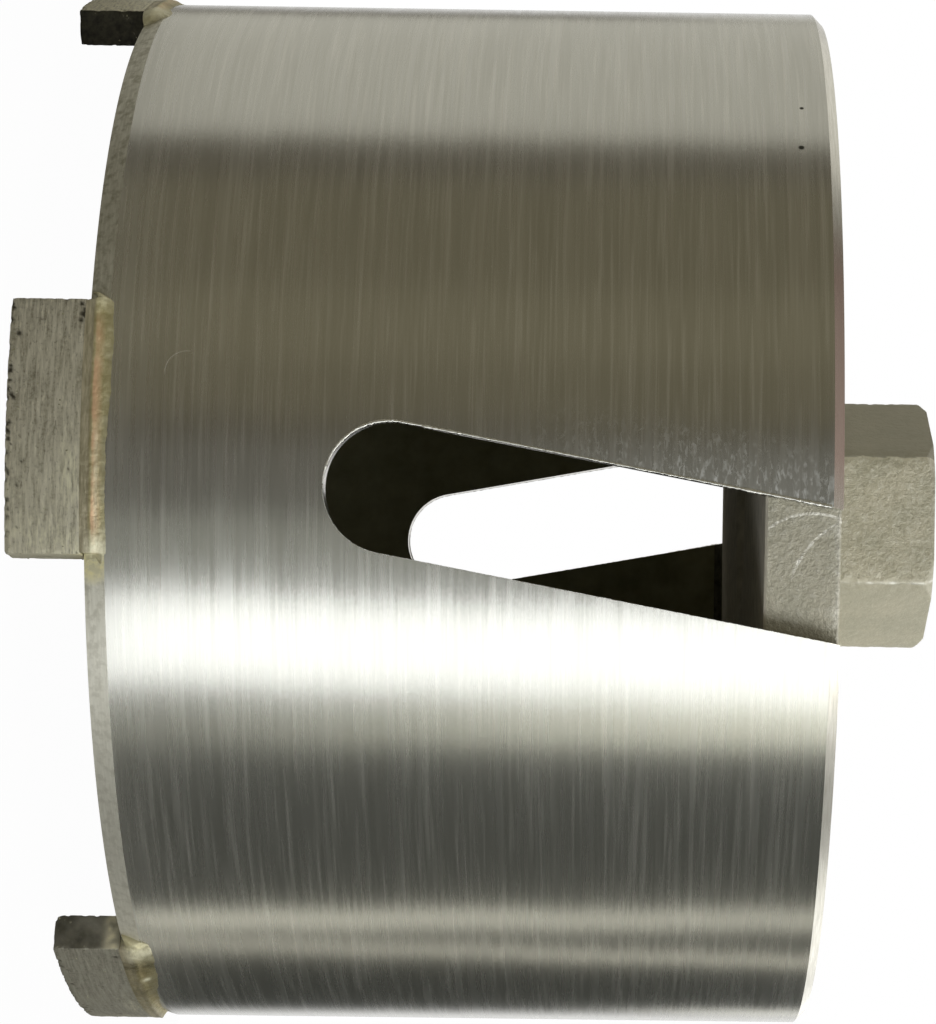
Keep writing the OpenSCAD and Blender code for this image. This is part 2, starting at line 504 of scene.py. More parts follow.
small_dent = round_mark(tree, (-35.05, -36.36, 67.3), 0.12, 0.24)
large_dent = round_mark(tree, (-30.9, -39.95, 67.1), 0.18, 0.34)
shaded_dents = do_math("MAXIMUM", small_dent, large_dent)
scratch = ring_mark(tree, (-9.5, -49.6, 15.0), 1.86, 0.06, (-10.8, -49.33, 13.7), 1.7)
print("marks: 2 dents and a scratch")

# %% [markdown]
# ## Rubbed zone with a painted highlight
# The zone follows the slot's upper edge, so it is found from the distance to that edge, the
# height and the side of the tube. A distorted noise breaks it up into scratches. There the
# metal gives way to a pale, rougher surface, which is partly rubbed steel and partly a
# painted highlight where the key lamp's band starts early beside the slot. All the marks go
# over the steel in one list, with a share and a colour for each.

# %% The rubbed zone with its painted highlight, and the steel's tones
SCUFF_HIGHLIGHT_FROM, SCUFF_HIGHLIGHT_FULL = 0.042, 0.062
x, y, z = add_node(tree, "ShaderNodeSeparateXYZ", {0: object_place(tree)}).outputs
slot_edge = SLOT_END_Z * math.tan(SLOT_LEAN) + SLOT_W / 2 / math.cos(SLOT_LEAN)
from_edge = plus(do_math("SUBTRACT", x, times(z, math.tan(SLOT_LEAN))), slot_edge * MM)
beside_slot = times(ramp(from_edge, -0.0055, -0.0003), ramp(z, SCUFF_HIGHLIGHT_FROM, SCUFF_HIGHLIGHT_FULL))
beside_slot = times(beside_slot, ramp(from_edge, 0.003, 0.004, 1.0, 0.0), ramp(y, -0.01, -0.03))
scratches = grain(tree, (1100.0, 1100.0, 2900.0), 4.0, 0.7, distortion=0.7)
scuff_and_highlight = times(beside_slot, ramp(scratches, 0.50, 0.66, 0.10, 1.0))

cut_lines = ramp(cuts, 0.50, 0.70)
steel = mix_colour(ramp(streaks, 0.38, 0.62), (0.565, 0.56, 0.515), (0.635, 0.63, 0.59))
steel = paint(steel, [
    (times(cut_lines, 0.25), (0.92, 0.90, 0.84)),
    # painted shade in the two dents
    (times(shaded_dents, 0.95), (0.03, 0.03, 0.02)),
    (times(scratch, 0.8), (0.97, 0.95, 0.90)),
    # pale coat beside the slot: partly rubbed steel, partly a painted highlight
    (times(scuff_and_highlight, 0.8), (0.90, 0.92, 0.93)),
])
matt_and_highlight = do_math("MAXIMUM", times(cut_lines, 0.07), times(scuff_and_highlight, 0.6))
dull = plus(times(do_math("MAXIMUM", shaded_dents, scratch), 0.30), times(scuff_and_highlight, 0.10))
set_inputs(shader, {
    "Base Color": steel,
    "Metallic": do_math("SUBTRACT", 1.0, matt_and_highlight),
    "Roughness": plus(ramp(streaks, 0.36, 0.64, 0.252, 0.288), dull),
})
print("rubbed from", SCUFF_HIGHLIGHT_FROM, "m up, fully from", SCUFF_HIGHLIGHT_FULL)

# %% [markdown]
# ## Turned faces
# The relief at the mouth was turned and left as it was: coarser rings, spots of grease and
# a film of braze beside one segment, and a painted highlight lightens it on the side towards
# the key lamp. The bevel at the back is bright, and one patch of its colour is rose. Both are
# the tube's steel with other marks, so each is a small tree of its own, with tones that the
# photograph gave.

# %% Turned cone and bevel
TURNED = (0.62, 0.60, 0.53)
turned_cone, tree, shader = start_material("turned_cone", TURNED, 0.7, 0.45)
swing, normal = turned_round(tree, shader, 0.4)
marks = grain(tree, (500.0, 500.0, 5200.0), 3.0, 0.6)
spots = grain(tree, 1300.0, 3.0, 0.6)
x, y, z = add_node(tree, "ShaderNodeSeparateXYZ", {0: object_place(tree)}).outputs
film = times(round_mark(tree, (6.4, -49.5, 7.2), 1.2, 2.3), ramp(spots, 0.62, 0.42, 0.5, 1.0))
tone = paint(two_tones(marks, (0.50, 0.485, 0.40), (0.68, 0.665, 0.58)), [
    (ramp(spots, 0.46, 0.64, 0.0, 0.55), (0.26, 0.24, 0.16)),
    # painted highlight: lighter towards +X, the side that faces the key lamp
    (ramp(x, 0.004, 0.016, 0.0, 0.40), (0.95, 0.93, 0.86)),
    (film, (0.80, 0.74, 0.44)),
])
upright = do_vector("NORMALIZE", do_vector("ADD", normal, (0.0, 0.0, 0.30)))
set_inputs(shader, {"Base Color": tone, "Normal": bump(spots, 0.4, 0.00003, Normal=upright)})

turned_bevel, tree, shader = start_material("turned_bevel", TURNED, 0.95, 0.27)
marks = grain(tree, (400.0, 400.0, 7000.0))
rose = round_mark(tree, (-11.0, -48.6, 70.0), 8.0, 14.0, 0.8)
tone = two_tones(marks, (0.56, 0.54, 0.48), (0.70, 0.68, 0.62))
set_inputs(shader, {"Base Color": paint(tone, [(rose, (0.62, 0.45, 0.40))])})
print("turned finishes:", turned_cone.name, turned_bevel.name)

# %% [markdown]
# ## Bore and cut faces
# Inside, the tube is as it was rolled, with scale and oil, and its tone is kept darker as
# painted shade for the inside of the tube. The walls of the slots are milled steel. Both are
# plain next to the ground outside, so one noise each is enough for a mottled tone and a
# slight bump.

# %% Bore and cut faces
# as-rolled scale, with its tone kept darker as painted shade inside the tube
bore_scale_and_shade, shader, patches = mottled_material(
    "bore_scale_and_shade", (0.15, 0.145, 0.09), 0.6, 0.55, ((300.0, 300.0, 300.0), 4.0, 0.6),
    ((0.23, 0.225, 0.12), (0.42, 0.40, 0.25)), (0.4, 0.00008))
set_inputs(shader, {"Roughness": ramp(patches, 0.3, 0.7, 0.45, 0.65)})
milled_steel = mottled_material(
    "milled_steel", (0.50, 0.48, 0.42), 1.0, 0.24, ((900.0, 300.0, 5000.0), 3.0),
    ((0.46, 0.44, 0.38), (0.68, 0.66, 0.60)), (0.5, 0.00003))[0]
print("tube finishes:", bore_scale_and_shade.name, milled_steel.name)

# %% [markdown]
# ## Helpers for meshes
# The tube, the hub and the braze are all rings of points with quads between them, so they
# share the function that joins the rings. A second one cleans a mesh: it merges doubles,
# turns every face outwards and keeps the edges sharp where two faces meet at an angle.

# %% Mesh helpers
def round_point(radius, angle, height):
    """A point round the axis, from millimetres to metres."""
    return radius * math.cos(angle) * MM, radius * math.sin(angle) * MM, height * MM


def join_rings(rings, count, closed=True):
    """Quads between neighbouring rings of count points each."""
    faces = []
    for k in range(rings if closed else rings - 1):
        here, there = k * count, (k + 1) % rings * count
        for j in range(count):
            n = (j + 1) % count
            faces.append((here + j, there + j, there + n, here + n))
    return faces


def settle(obj, angle):
    """Merges doubles, turns the faces outwards and shades them smooth up to an angle."""
    shape = bmesh.new()
    shape.from_mesh(obj.data)
    bmesh.ops.remove_doubles(shape, verts=shape.verts, dist=1e-7)
    bmesh.ops.recalc_face_normals(shape, faces=shape.faces)
    limit = math.radians(angle)
    for face in shape.faces:
        face.smooth = True
    for edge in shape.edges:
        edge.smooth = len(edge.link_faces) == 2 and edge.calc_face_angle(0.0) < limit
    shape.to_mesh(obj.data)
    shape.free()
    obj.data.update()


print("helpers for ring meshes ready")

# %% [markdown]
# ## Helpers for pieces
# A modifier's result becomes a plain mesh, and finishes go into its material slots in
# order. What differs from place to place, such as wear, is stored on the mesh as one number
# for each point, which a finish reads by its name.

# %% Piece helpers
def make_plain(obj):
    """Replaces a live object's mesh by what its modifiers make of it."""
    seen = obj.evaluated_get(bpy.context.evaluated_depsgraph_get())
    plain = bpy.data.meshes.new_from_object(seen)
    obj.modifiers.clear()
    obj.data = plain


def dress(obj, *finishes):
    for finish in finishes:
        obj.data.materials.append(finish)


def write_marks(mesh, marks):
    """Stores lists of numbers on the mesh, one number for each point."""
    for name, values in marks.items():
        mesh.attributes.new(name, "FLOAT", "POINT").data.foreach_set("value", values)


print("helpers for pieces ready")

# %% [markdown]
# ## Barrel
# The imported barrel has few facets, which a glossy tube shows as stripes. It could be
# smoothed, but its long triangles round the slots would still ripple. A new mesh of the
# same section, revolved in half-degree steps, mirrors the lamps cleanly and stays exactly
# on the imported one.

# %% The revolved barrel
BARREL_STEPS = 720
BARREL_SMOOTH = 15.0
section = [
    (BORE_R + MOUTH_BEVEL, MOUTH_Z),
    (BARREL_R - RELIEF_DEPTH, MOUTH_Z),
    (BARREL_R, MOUTH_Z + RELIEF_LEN),
    (BARREL_R, BACK_Z - BACK_BEVEL),
    (BARREL_R - BACK_BEVEL, BACK_Z),
    (BORE_R + FLANGE_BEVEL, BACK_Z),
    (BORE_R, BACK_Z - FLANGE_BEVEL),
    (BORE_R, MOUTH_Z + MOUTH_BEVEL),
]
points = [round_point(r, k * math.tau / BARREL_STEPS, z) for k in range(BARREL_STEPS) for r, z in section]
faces = join_rings(BARREL_STEPS, len(section))
barrel = add_object("barrel_ground", new_mesh("barrel_ground", points, faces))
settle(barrel, BARREL_SMOOTH)
print("barrel section points", len(section), "steps", BARREL_STEPS)

# %% [markdown]
# ## Slots
# Each slot is milled straight through the wall and is open at the back. It leans, so its
# round end isn't in line with its mouth. Cutting it from the fine mesh with a prism of the
# slot's own outline gives clean walls, and keeps every other point where it was.

# %% The slots
def slot_outline(steps):
    """The slot's edge in its own plane, from its open end round and back, in millimetres."""
    half = SLOT_W / 2
    run = (BACK_Z - SLOT_END_Z + 3.0) / math.cos(SLOT_LEAN)
    turns = [math.pi + k * math.pi / steps for k in range(steps + 1)]
    flat = [(-half, run)] + [(half * math.cos(a), half * math.sin(a)) for a in turns] + [(half, run)]
    c, s = math.cos(SLOT_LEAN), math.sin(SLOT_LEAN)
    return [(x * c + z * s, SLOT_END_Z - x * s + z * c) for x, z in flat]


def slot_cutter(side):
    """A prism of the slot's outline, on the front for side 1 and on the back for side -1."""
    edge = slot_outline(48)
    count = len(edge)
    points = []
    for depth in (BORE_R - 20.0, BARREL_R + 5.0):
        points += [(side * x * MM, -side * depth * MM, z * MM) for x, z in edge]
    faces = [list(range(count)), list(range(2 * count - 1, count - 1, -1))]
    faces += [(k, (k + 1) % count, count + (k + 1) % count, count + k) for k in range(count)]
    cutter = add_object("slot_cutter", new_mesh("slot_cutter", points, faces))
    settle(cutter, BARREL_SMOOTH)
    return cutter


cutters = [slot_cutter(1), slot_cutter(-1)]
for cutter in cutters:
    cut = barrel.modifiers.new("slot", "BOOLEAN")
    cut.object = cutter
    cut.operation = "DIFFERENCE"
    cut.solver = "EXACT"
make_plain(barrel)
for cutter in cutters:
    bpy.data.objects.remove(cutter)
settle(barrel, BARREL_SMOOTH)
print("barrel faces", len(barrel.data.polygons))

# %% [markdown]
# ## Finishes of the barrel
# The real tube has five kinds of surface: ground outside, scale in the bore, whose tone is
# kept darker as painted shade, milled slot walls, the turned relief and the bevel. A face's
# direction and its distance from the axis say which kind it is, so no face has to be picked
# by hand.

# %% Finishes by face
BORE, WALL, CONE, BEVEL = 1, 2, 3, 4
dress(barrel, ground_steel, bore_scale_and_shade, milled_steel, turned_cone, turned_bevel)
for face in barrel.data.polygons:
    mid = face.center / MM
    reach = math.hypot(mid.x, mid.y)
    radial = (face.normal.x * mid.x + face.normal.y * mid.y) / reach
    wall = abs(radial) < 0.5 and abs(face.normal.z) < 0.999 and BORE_R + 0.05 < reach < BARREL_R - 0.05
    if radial < -0.9 and reach < BORE_R + 0.01:
        face.material_index = BORE
    elif wall and mid.z > SLOT_END_Z - SLOT_W:
        face.material_index = WALL
    elif face.normal.z < -0.2:
        face.material_index = CONE
    elif face.normal.z > 0.5:
        face.material_index = BEVEL
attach(barrel, "root")
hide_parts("barrel")
print("barrel finishes", [finish.name for finish in barrel.data.materials])

# %% [markdown]
# ## Blasted steel
# The flange and the hexagon are one forging, blasted to a matt grain of small pebbles. Two
# noises give the grain its height, the coarser one also its light and dark specks, and
# slow clouds vary the tone. All of the hexagon's sides but the front and the back one are
# smoother, so the same tree serves them with less grit and a faint sweep of lines. The
# flange's rim carries two arcs that a tool left. The mesh says where corners are worn
# bright, with a painted highlight on the corners that face the key lamp, and where painted
# shade darkens the steel.

# %% Blasted steel
BLASTED = (0.62, 0.60, 0.51)
# centre, radius and the middle of the arc that shows
TOOL_ARCS = [
    ((7.83, -47.9, 68.09), 6.25, (1.9, -47.86, 67.2)),
    ((9.58, -47.8, 73.99), 8.13, (4.0, -47.7, 68.4)),
]


def start_blasted(name, grit, mark, sweep):
    """The forged skin. grit is its specks, mark its height, sweep the lines of a tool."""
    material, tree, shader = start_material(name, BLASTED, 0.2, 0.55)
    coarse = grain(tree, 1700.0, 3.0, 0.7)
    pebbles = grain(tree, 3600.0, 2.0, 0.6)
    clouds = grain(tree, 260.0)
    swept = grain(tree, (160.0, 160.0, 2600.0), 3.0, 0.6)
    tone = paint(two_tones(clouds, (0.585, 0.562, 0.452), (0.685, 0.648, 0.525), 0.35, 0.65), [
        (ramp(coarse, 0.53, 0.62, 0.0, grit), (0.88, 0.86, 0.77)),
        (ramp(coarse, 0.46, 0.36, 0.0, grit), (0.34, 0.32, 0.23)),
        (ramp(swept, 0.40, 0.62, 0.0, sweep), (0.50, 0.485, 0.41)),
        (0.15 if sweep else 0.0, (1.0, 0.96, 0.80)),
        # painted shade, as much as the mesh gives at each point
        (read_mark(tree, "painted_shade"), (0.20, 0.19, 0.15)),
    ])
    # worn corners with a painted highlight, and the tool's arcs
    edge = read_mark(tree, "wear_and_highlight")
    for centre, radius, middle in TOOL_ARCS:
        arc = ring_mark(tree, centre, radius, 0.17, middle, 4.0)
        edge = do_math("MAXIMUM", edge, times(arc, ramp(coarse, 0.40, 0.55, 0.25, 0.85)))
    height = plus(times(coarse, mark), times(pebbles, 0.6 * mark), times(swept, 0.5 * sweep))
    set_inputs(shader, {
        "Base Color": paint(tone, [(edge, (0.94, 0.92, 0.85))]),
        "Metallic": ramp(edge, 0.0, 1.0, 0.2, 0.9),
        "Roughness": ramp(edge, 0.0, 1.0, 0.55, 0.38),
        "Normal": bump(height, 0.9, 0.00016),
    })
    return material


blasted_steel = start_blasted("blasted_steel", 0.32, 1.45, 0.0)
sheared_steel = start_blasted("sheared_steel", 0.16, 0.50, 0.10)
hub_scale, shader, patches = mottled_material(
    "hub_scale", (0.06, 0.055, 0.042), 0.0, 0.9, (500.0, 4.0, 0.6),
    ((0.52, 0.485, 0.41), (0.78, 0.73, 0.62)), (0.4, 0.00006))
set_inputs(shader, {"Specular IOR Level": 0.1})
print("hub finishes:", blasted_steel.name, sheared_steel.name, hub_scale.name)

# %% [markdown]
# ## Section of the hub
# A hexagon and a round flange don't share a section, but at any one angle the hub has one:
# bore, flange, foot, hexagon, countersink. Only the hexagon's side comes and goes with the
# angle. Its corners were turned off, and a high power blends the flat and the turned
# radius into one smooth rule.

# %% Hub section
CORNER_POWER = 70.0
RIM_ROWS = 20
RIM_ROW = 0.305
FOOT_ROWS = 8
SIDE_ROWS = 40


def hexagon_r(angle):
    """Distance of the hexagon's side from the axis, its corners turned off softly."""
    turn = (angle + math.pi / 2) % (math.pi / 3)
    if turn > math.pi / 6:
        turn -= math.pi / 3
    flat = HEX_FLAT / math.cos(turn)
    return (flat ** -CORNER_POWER + HEX_TURNED_R ** -CORNER_POWER) ** (-1.0 / CORNER_POWER)


def hub_column(side):
    """The hub's section where the hexagon's side is this far out, from its bore outwards and up."""
    mouth = THREAD_R + THREAD_SINK
    rows = [(r, FLANGE_Z) for r in (mouth, 12, 18, 24, 30, 36, 42, 46)]
    rows += [(FLANGE_R - FLANGE_BEVEL, FLANGE_Z)]
    rows += [(FLANGE_R, FLANGE_Z + FLANGE_BEVEL + k * RIM_ROW) for k in range(RIM_ROWS)]
    rows += [(FLANGE_R, BACK_Z - FLANGE_BEVEL), (FLANGE_R - FLANGE_BEVEL, BACK_Z)]
    rows += [(r, BACK_Z) for r in (46, 42, 37, 32, 27, 22, 18, 15)]
    foot_in = HEX_FLAT - FOOT_R / 8
    for k in range(FOOT_ROWS + 1):
        t = k / FOOT_ROWS
        r = HEX_TURNED_R + FOOT_R + (foot_in - HEX_TURNED_R - FOOT_R) * t
        z = BACK_Z + 2 * FOOT_R * t
        dip = 2 * FOOT_R * t * (1 - t)
        rows.append((max(r - dip * 0.55, side), z - dip * 0.85))
    first = BACK_Z + 2 * FOOT_R
    rows += [(side, first + (HUB_Z - HEX_BEVEL - first) * k / SIDE_ROWS) for k in range(1, SIDE_ROWS + 1)]
    for k in range(1, 6):
        z = HUB_Z - HEX_BEVEL + HEX_BEVEL * k / 5
        rows.append((min(side, HEX_TURNED_R - HEX_BEVEL * k / 5), z))
    end = rows[-1][0]
    rows += [(end + (mouth - end) * k / 6, HUB_Z) for k in range(1, 7)]
    rows += [(THREAD_R, HUB_Z - THREAD_SINK)]
    rows += [(THREAD_R, HUB_Z - THREAD_SINK - 2.0 * k) for k in range(1, 9)]
    rows += [(THREAD_R, FLANGE_Z + THREAD_SINK)]
    return rows


print("rows in a column", len(hub_column(HEX_FLAT)))

# %% [markdown]
# ## Hub
# Ruled edges would give the hub away as a model: on the real one the blasting nibbled the
# hexagon's corners and roughened the flange's rim. Half-degree columns leave enough points
# to move each a little by noise. While a point is moved, its wear with its painted highlight
# and its painted shade are written down for the finish.

# %% The hub
HUB_COLUMNS = 720
HUB_SMOOTH = 24.0
HEX_H = 12.1
LINE_HALF = 1.1


def rough(point, size, seed):
    """Slow noise of about the given size, in millimetres, between -1 and 1."""
    return noise.noise(Vector(point) / size + Vector((seed, seed * 1.7, seed * 0.3)))


points, wear_and_highlight, painted_shade = [], [], []
for k in range(HUB_COLUMNS):
    angle = k * math.tau / HUB_COLUMNS
    side = hexagon_r(angle)
    column = hub_column(side)
    c, s = math.cos(angle), math.sin(angle)
    corner = min(1.0, max(0.0, (side - 11.9) / 0.40))
    off_corner = abs((math.degrees(angle) + 30.0) % 60.0 - 30.0)
    line = max(0.0, 1.0 - off_corner / LINE_HALF)
    x_side = c if s < 0 else -c
    for r, z in column:
        at = (r * c, r * s, z)
        worn = shade = 0.0
        if 10.8 < r < 12.6 and z > BACK_Z + 1.0:
            nibble = max(0.0, rough(at, 0.7, 9.0))
            r += 0.02 * rough(at, 0.45, 3.0) - corner * nibble * 0.16
            worn = line * min(1.0, 0.45 + 1.2 * rough(at, 0.8, 31.0))
            # painted highlight: the corner line stays bright on the lower sides, which face the key lamp, and
            # grows towards the hexagon's end
            worn *= (0.15 if x_side < 0 else 0.8) + 0.5 * (z - BACK_Z) / HEX_H * (x_side > 0)
            # painted shade: the upper sides, facing away from the key lamp, are darkened strongly, the lower
            # sides a little
            shade = 0.60 if x_side < 0 and abs(x_side) > 0.5 + 0.02 * rough(at, 1.6, 51.0) else 0.0
            if x_side > 0.5:
                shade = 0.09
        elif z > FLANGE_Z + 0.15 and r > 47.0 and z < BACK_Z:
            r += 0.02 * rough(at, 0.55, 5.0) - 0.015
            worn = max(0.0, 0.65 + 1.2 * rough(at, 0.5, 41.0)) * max(0.0, 1.0 - (BACK_Z - z) / 0.7)
            # painted shade on the flange's rim
            shade = 0.28
        points.append((r * c * MM, r * s * MM, z * MM))
        wear_and_highlight.append(worn)
        painted_shade.append(shade)
hub = add_object("hub_blasted", new_mesh("hub_blasted", points, join_rings(HUB_COLUMNS, len(column))))
write_marks(hub.data, {"wear_and_highlight": wear_and_highlight, "painted_shade": painted_shade})
settle(hub, HUB_SMOOTH)
print("hub faces", len(hub.data.polygons))

# %% [markdown]
# ## Finishes of the hub
# The flange's inner face has a dull skin, the bore was cut by a tap, and four of the
# hexagon's sides are smoother than the rest. As on the barrel, a face's place says which
# finish it gets, and a slow noise makes the border between the sides wander.

# %% Finishes of the hub
SHEARED, SCALED = 1, 2
dress(hub, blasted_steel, sheared_steel, hub_scale)
for face in hub.data.polygons:
    mid = face.center / MM
    reach = math.hypot(mid.x, mid.y)
    turn = math.degrees(math.atan2(abs(mid.x), abs(mid.y)))
    in_bore = reach < THREAD_R + THREAD_SINK * 0.9
    if mid.z < FLANGE_Z + 0.1 or in_bore and mid.z < FLANGE_Z + 4.0:
        face.material_index = SCALED
    elif in_bore and mid.z < HUB_Z - 0.1:
        face.material_index = SHEARED
    elif reach < 12.7 and mid.z > BACK_Z + 0.3 and turn > 29.0 + 2.5 * rough(mid, 1.6, 51.0):
        face.material_index = SHEARED
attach(hub, "root")
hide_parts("hub")
print("hub finishes", [finish.name for finish in hub.data.materials])

# %% [markdown]
# ## Helpers for Geometry Nodes
# Where something follows a path or repeats, a node tree keeps its sizes as named inputs
# that anyone can turn later. Each tree starts with those inputs and ends in real geometry
# with its finish. A modifier takes its values by the inputs' identifiers, and then the
# result becomes a plain mesh.

# %% Geometry Nodes helpers
def start_tree(name, sizes):
    """A node group for a modifier, with one named input for each size."""
    tree = bpy.data.node_groups.new(name, "GeometryNodeTree")
    for label, kind in (("Geometry", "NodeSocketGeometry"), *sizes.items()):
        tree.interface.new_socket(label, in_out="INPUT", socket_type=kind)
    tree.interface.new_socket("Geometry", in_out="OUTPUT", socket_type="NodeSocketGeometry")
    return tree, add_node(tree, "NodeGroupInput").outputs


def grow(tree, kind, inputs=None, **settings):
    """Adds a geometry node and gives its first output."""
    return add_node(tree, kind, inputs, **settings).outputs[0]


def end_tree(tree, shape, finish):
    """Every tree ends in plain geometry with its finish."""
    real = grow(tree, "GeometryNodeRealizeInstances", {"Geometry": shape})
    dressed = grow(tree, "GeometryNodeSetMaterial", {"Geometry": real, "Material": finish})
    add_node(tree, "NodeGroupOutput", {0: dressed})


def run_tree(obj, tree, values):
    """Sets the inputs by their identifiers, then turns the result into a plain mesh."""
    grown = obj.modifiers.new(tree.name, "NODES")
    grown.node_group = tree
    for item in tree.interface.items_tree:
        if item.in_out == "INPUT" and item.name in values:
            grown[item.identifier] = values[item.name]
    make_plain(obj)


print("geometry helpers ready")

# %% [markdown]
# ## Thread
# The spindle screws into the hub. A thread is one ridge that follows a helix, which is
# what Geometry Nodes do well: a spiral, a profile swept along it, and a scale that falls
# to nothing at both ends, so the ridge runs out into the countersinks.

# %% The thread's tree
RIDGE_BASE = 0.44
RIDGE_CREST = 0.0625
RIDGE_SUNK = -0.00006
tree, given = start_tree("thread_ridge", {
    label: "NodeSocketFloat" for label in ("Root Radius", "Height", "Turns", "Depth", "Pitch")})
spiral = grow(tree, "GeometryNodeCurveSpiral", {
    "Resolution": 48, "Rotations": given["Turns"], "Start Radius": given["Root Radius"],
    "End Radius": given["Root Radius"], "Height": given["Height"], "Reverse": False})
along = add_node(tree, "GeometryNodeSplineParameter").outputs["Factor"]
from_ends = do_math("MINIMUM", along, do_math("SUBTRACT", 1.0, along))
run_out = ramp(from_ends, 0.0, 0.06, 0.02, 1.0)
upright = grow(tree, "GeometryNodeSetCurveNormal", {"Curve": spiral}, mode="Z_UP")
tapered = grow(tree, "GeometryNodeSetCurveRadius", {"Curve": upright, "Radius": run_out})
base, crest = times(given["Pitch"], RIDGE_BASE), times(given["Pitch"], RIDGE_CREST)
corners = [
    (RIDGE_SUNK, base, -1.0),
    (RIDGE_SUNK, base, 1.0),
    (given["Depth"], crest, 1.0),
    (given["Depth"], crest, -1.0),
]
profile = {}
for inward, half, side in corners:
    corner = grow(tree, "ShaderNodeCombineXYZ", {0: inward, 1: times(half, side)})
    profile[f"Point {len(profile) + 1}"] = corner
outline = grow(tree, "GeometryNodeCurvePrimitiveQuadrilateral", profile, mode="POINTS")
ridge = grow(tree, "GeometryNodeCurveToMesh", {
    "Curve": tapered, "Profile Curve": outline, "Scale": run_out, "Fill Caps": True})
end_tree(tree, ridge, sheared_steel)
print("thread tree nodes", len(tree.nodes))

# %% [markdown]
# ## Growing the thread
# The tree's sizes come from the hub's own: the ridge runs from one countersink to the
# other, with as many turns as the pitch gives. The result is lifted to its place, and its
# smallest and largest radius show that it fits the bore.

# %% The thread
thread_length = HUB_Z - FLANGE_Z - 2 * THREAD_SINK
thread = add_object("thread_ridge", bpy.data.meshes.new("thread_ridge"))
run_tree(thread, tree, {
    "Root Radius": THREAD_R * MM,
    "Height": thread_length * MM,
    "Turns": thread_length / THREAD_PITCH,
    "Depth": 1.08 * MM,
    "Pitch": THREAD_PITCH * MM,
})
thread.data.transform(Matrix.Translation((0.0, 0.0, (FLANGE_Z + THREAD_SINK) * MM)))
radii = [math.hypot(v.co.x, v.co.y) / MM for v in thread.data.vertices]
print("thread faces", len(thread.data.polygons), "radius", round(min(radii), 2), "to", round(max(radii), 2))
settle(thread, 30.0)
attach(thread, "root")

# %% [markdown]
# ## Sintered bond
# A segment is a sintered block of metal powder and diamond grains. Its outer face was
# ground to the circle it cuts, so it has fine lines with pale and dark flecks in them. Its
# sawn ends are nearly black where no grinding reached, and a lighter coat on them is partly
# ground steel and partly a painted highlight, strongest on the near segment. Painted shade
# in the pits, a darkening that is partly stain and partly painted shade, and smears of
# braze differ from segment to segment, so the mesh carries them and the finish reads them.

# %% Sintered bond
sintered_bond, tree, shader = start_material("sintered_bond", (0.48, 0.46, 0.36), 0.40, 0.50)
lines = grain(tree, (330.0, 330.0, 3400.0), 3.0, 0.62)
flecks = grain(tree, (900.0, 900.0, 4200.0), 3.0, 0.65, (0.3, 0.1, 0.7))
speckle = grain(tree, 3600.0, 3.0, 0.6)
clouds = grain(tree, 160.0)
tone = paint(two_tones(lines, (0.33, 0.305, 0.23), (0.70, 0.665, 0.55), 0.38, 0.62), [
    (ramp(speckle, 0.40, 0.66, 0.0, 0.6), (0.64, 0.61, 0.49)),
    (ramp(speckle, 0.40, 0.30, 0.0, 0.6), (0.20, 0.185, 0.13)),
    (ramp(flecks, 0.57, 0.68, 0.0, 0.55), (0.90, 0.86, 0.70)),
    (ramp(flecks, 0.38, 0.28, 0.0, 0.7), (0.14, 0.125, 0.08)),
    (ramp(clouds, 0.35, 0.65, 0.0, 0.25), (0.62, 0.58, 0.44)),
    # darkening that is partly a stain and partly painted shade, strongest on the second segment
    (read_mark(tree, "stain_and_shade"), (0.14, 0.14, 0.12)),
    # painted shade inside the pits
    (read_mark(tree, "pit_shade"), (0.06, 0.052, 0.035)),
    (times(read_mark(tree, "pale"), ramp(flecks, 0.40, 0.60, 0.15, 1.0)), (0.90, 0.87, 0.66)),
])
height = plus(times(lines, 0.8), times(speckle, 0.35), times(flecks, 0.6))
set_inputs(shader, {"Base Color": tone, "Normal": bump(height, 0.6, 0.00006)})

sintered_end, tree, shader = start_material("sintered_end", (0.09, 0.085, 0.06), 0.3, 0.55)
mottle = grain(tree, 1300.0, 4.0, 0.65)
large = grain(tree, 320.0, 3.0)
tone = paint(two_tones(mottle, (0.016, 0.014, 0.008), (0.085, 0.078, 0.05), 0.32, 0.68), [
    # lighter coat on the ends: partly ground steel, partly a painted highlight
    (times(read_mark(tree, "clean_and_highlight"), ramp(large, 0.35, 0.62, 0.25, 1.15)), (0.72, 0.69, 0.57)),
    (read_mark(tree, "pale"), (0.86, 0.80, 0.58)),
    (ramp(mottle, 0.66, 0.74, 0.0, 0.8), (0.60, 0.57, 0.45)),
])
set_inputs(shader, {"Base Color": tone, "Normal": bump(mottle, 0.7, 0.0001)})
print("segment finishes:", sintered_bond.name, sintered_end.name)

# %% [markdown]
# ## A block that can be bent and worn
# The segments' edges are chipped, their lower edges are worn, and pits show where grains
# came out. A few vertices can't show that, and a subdivided cube wastes its faces inside.
# So the block starts as whole-number points on the faces of a box.

# %% The block
SEG_STEPS = (120, 15, 36)
SEG_SIZE = (SEG_LEN, SEG_OUT_R - SEG_IN_R, SEG_H)


def box_lattice(steps):
    """Whole-number points on the faces of a box, with quads between them."""
    index, points, faces = {}, [], []

    def point(key):
        if key not in index:
            index[key] = len(points)
            points.append(key)
        return index[key]

    for axis in range(3):
        u, v = (axis + 1) % 3, (axis + 2) % 3
        for end in (0, steps[axis]):
            for i in range(steps[u]):
                for j in range(steps[v]):
                    quad = []
                    for di, dj in ((0, 0), (1, 0), (1, 1), (0, 1)):
                        key = [0, 0, 0]
                        key[axis], key[u], key[v] = end, i + di, j + dj
                        quad.append(point(tuple(key)))
                    faces.append(quad if end else quad[::-1])
    return points, faces


lattice, lattice_faces = box_lattice(SEG_STEPS)
print("points on a block", len(lattice))

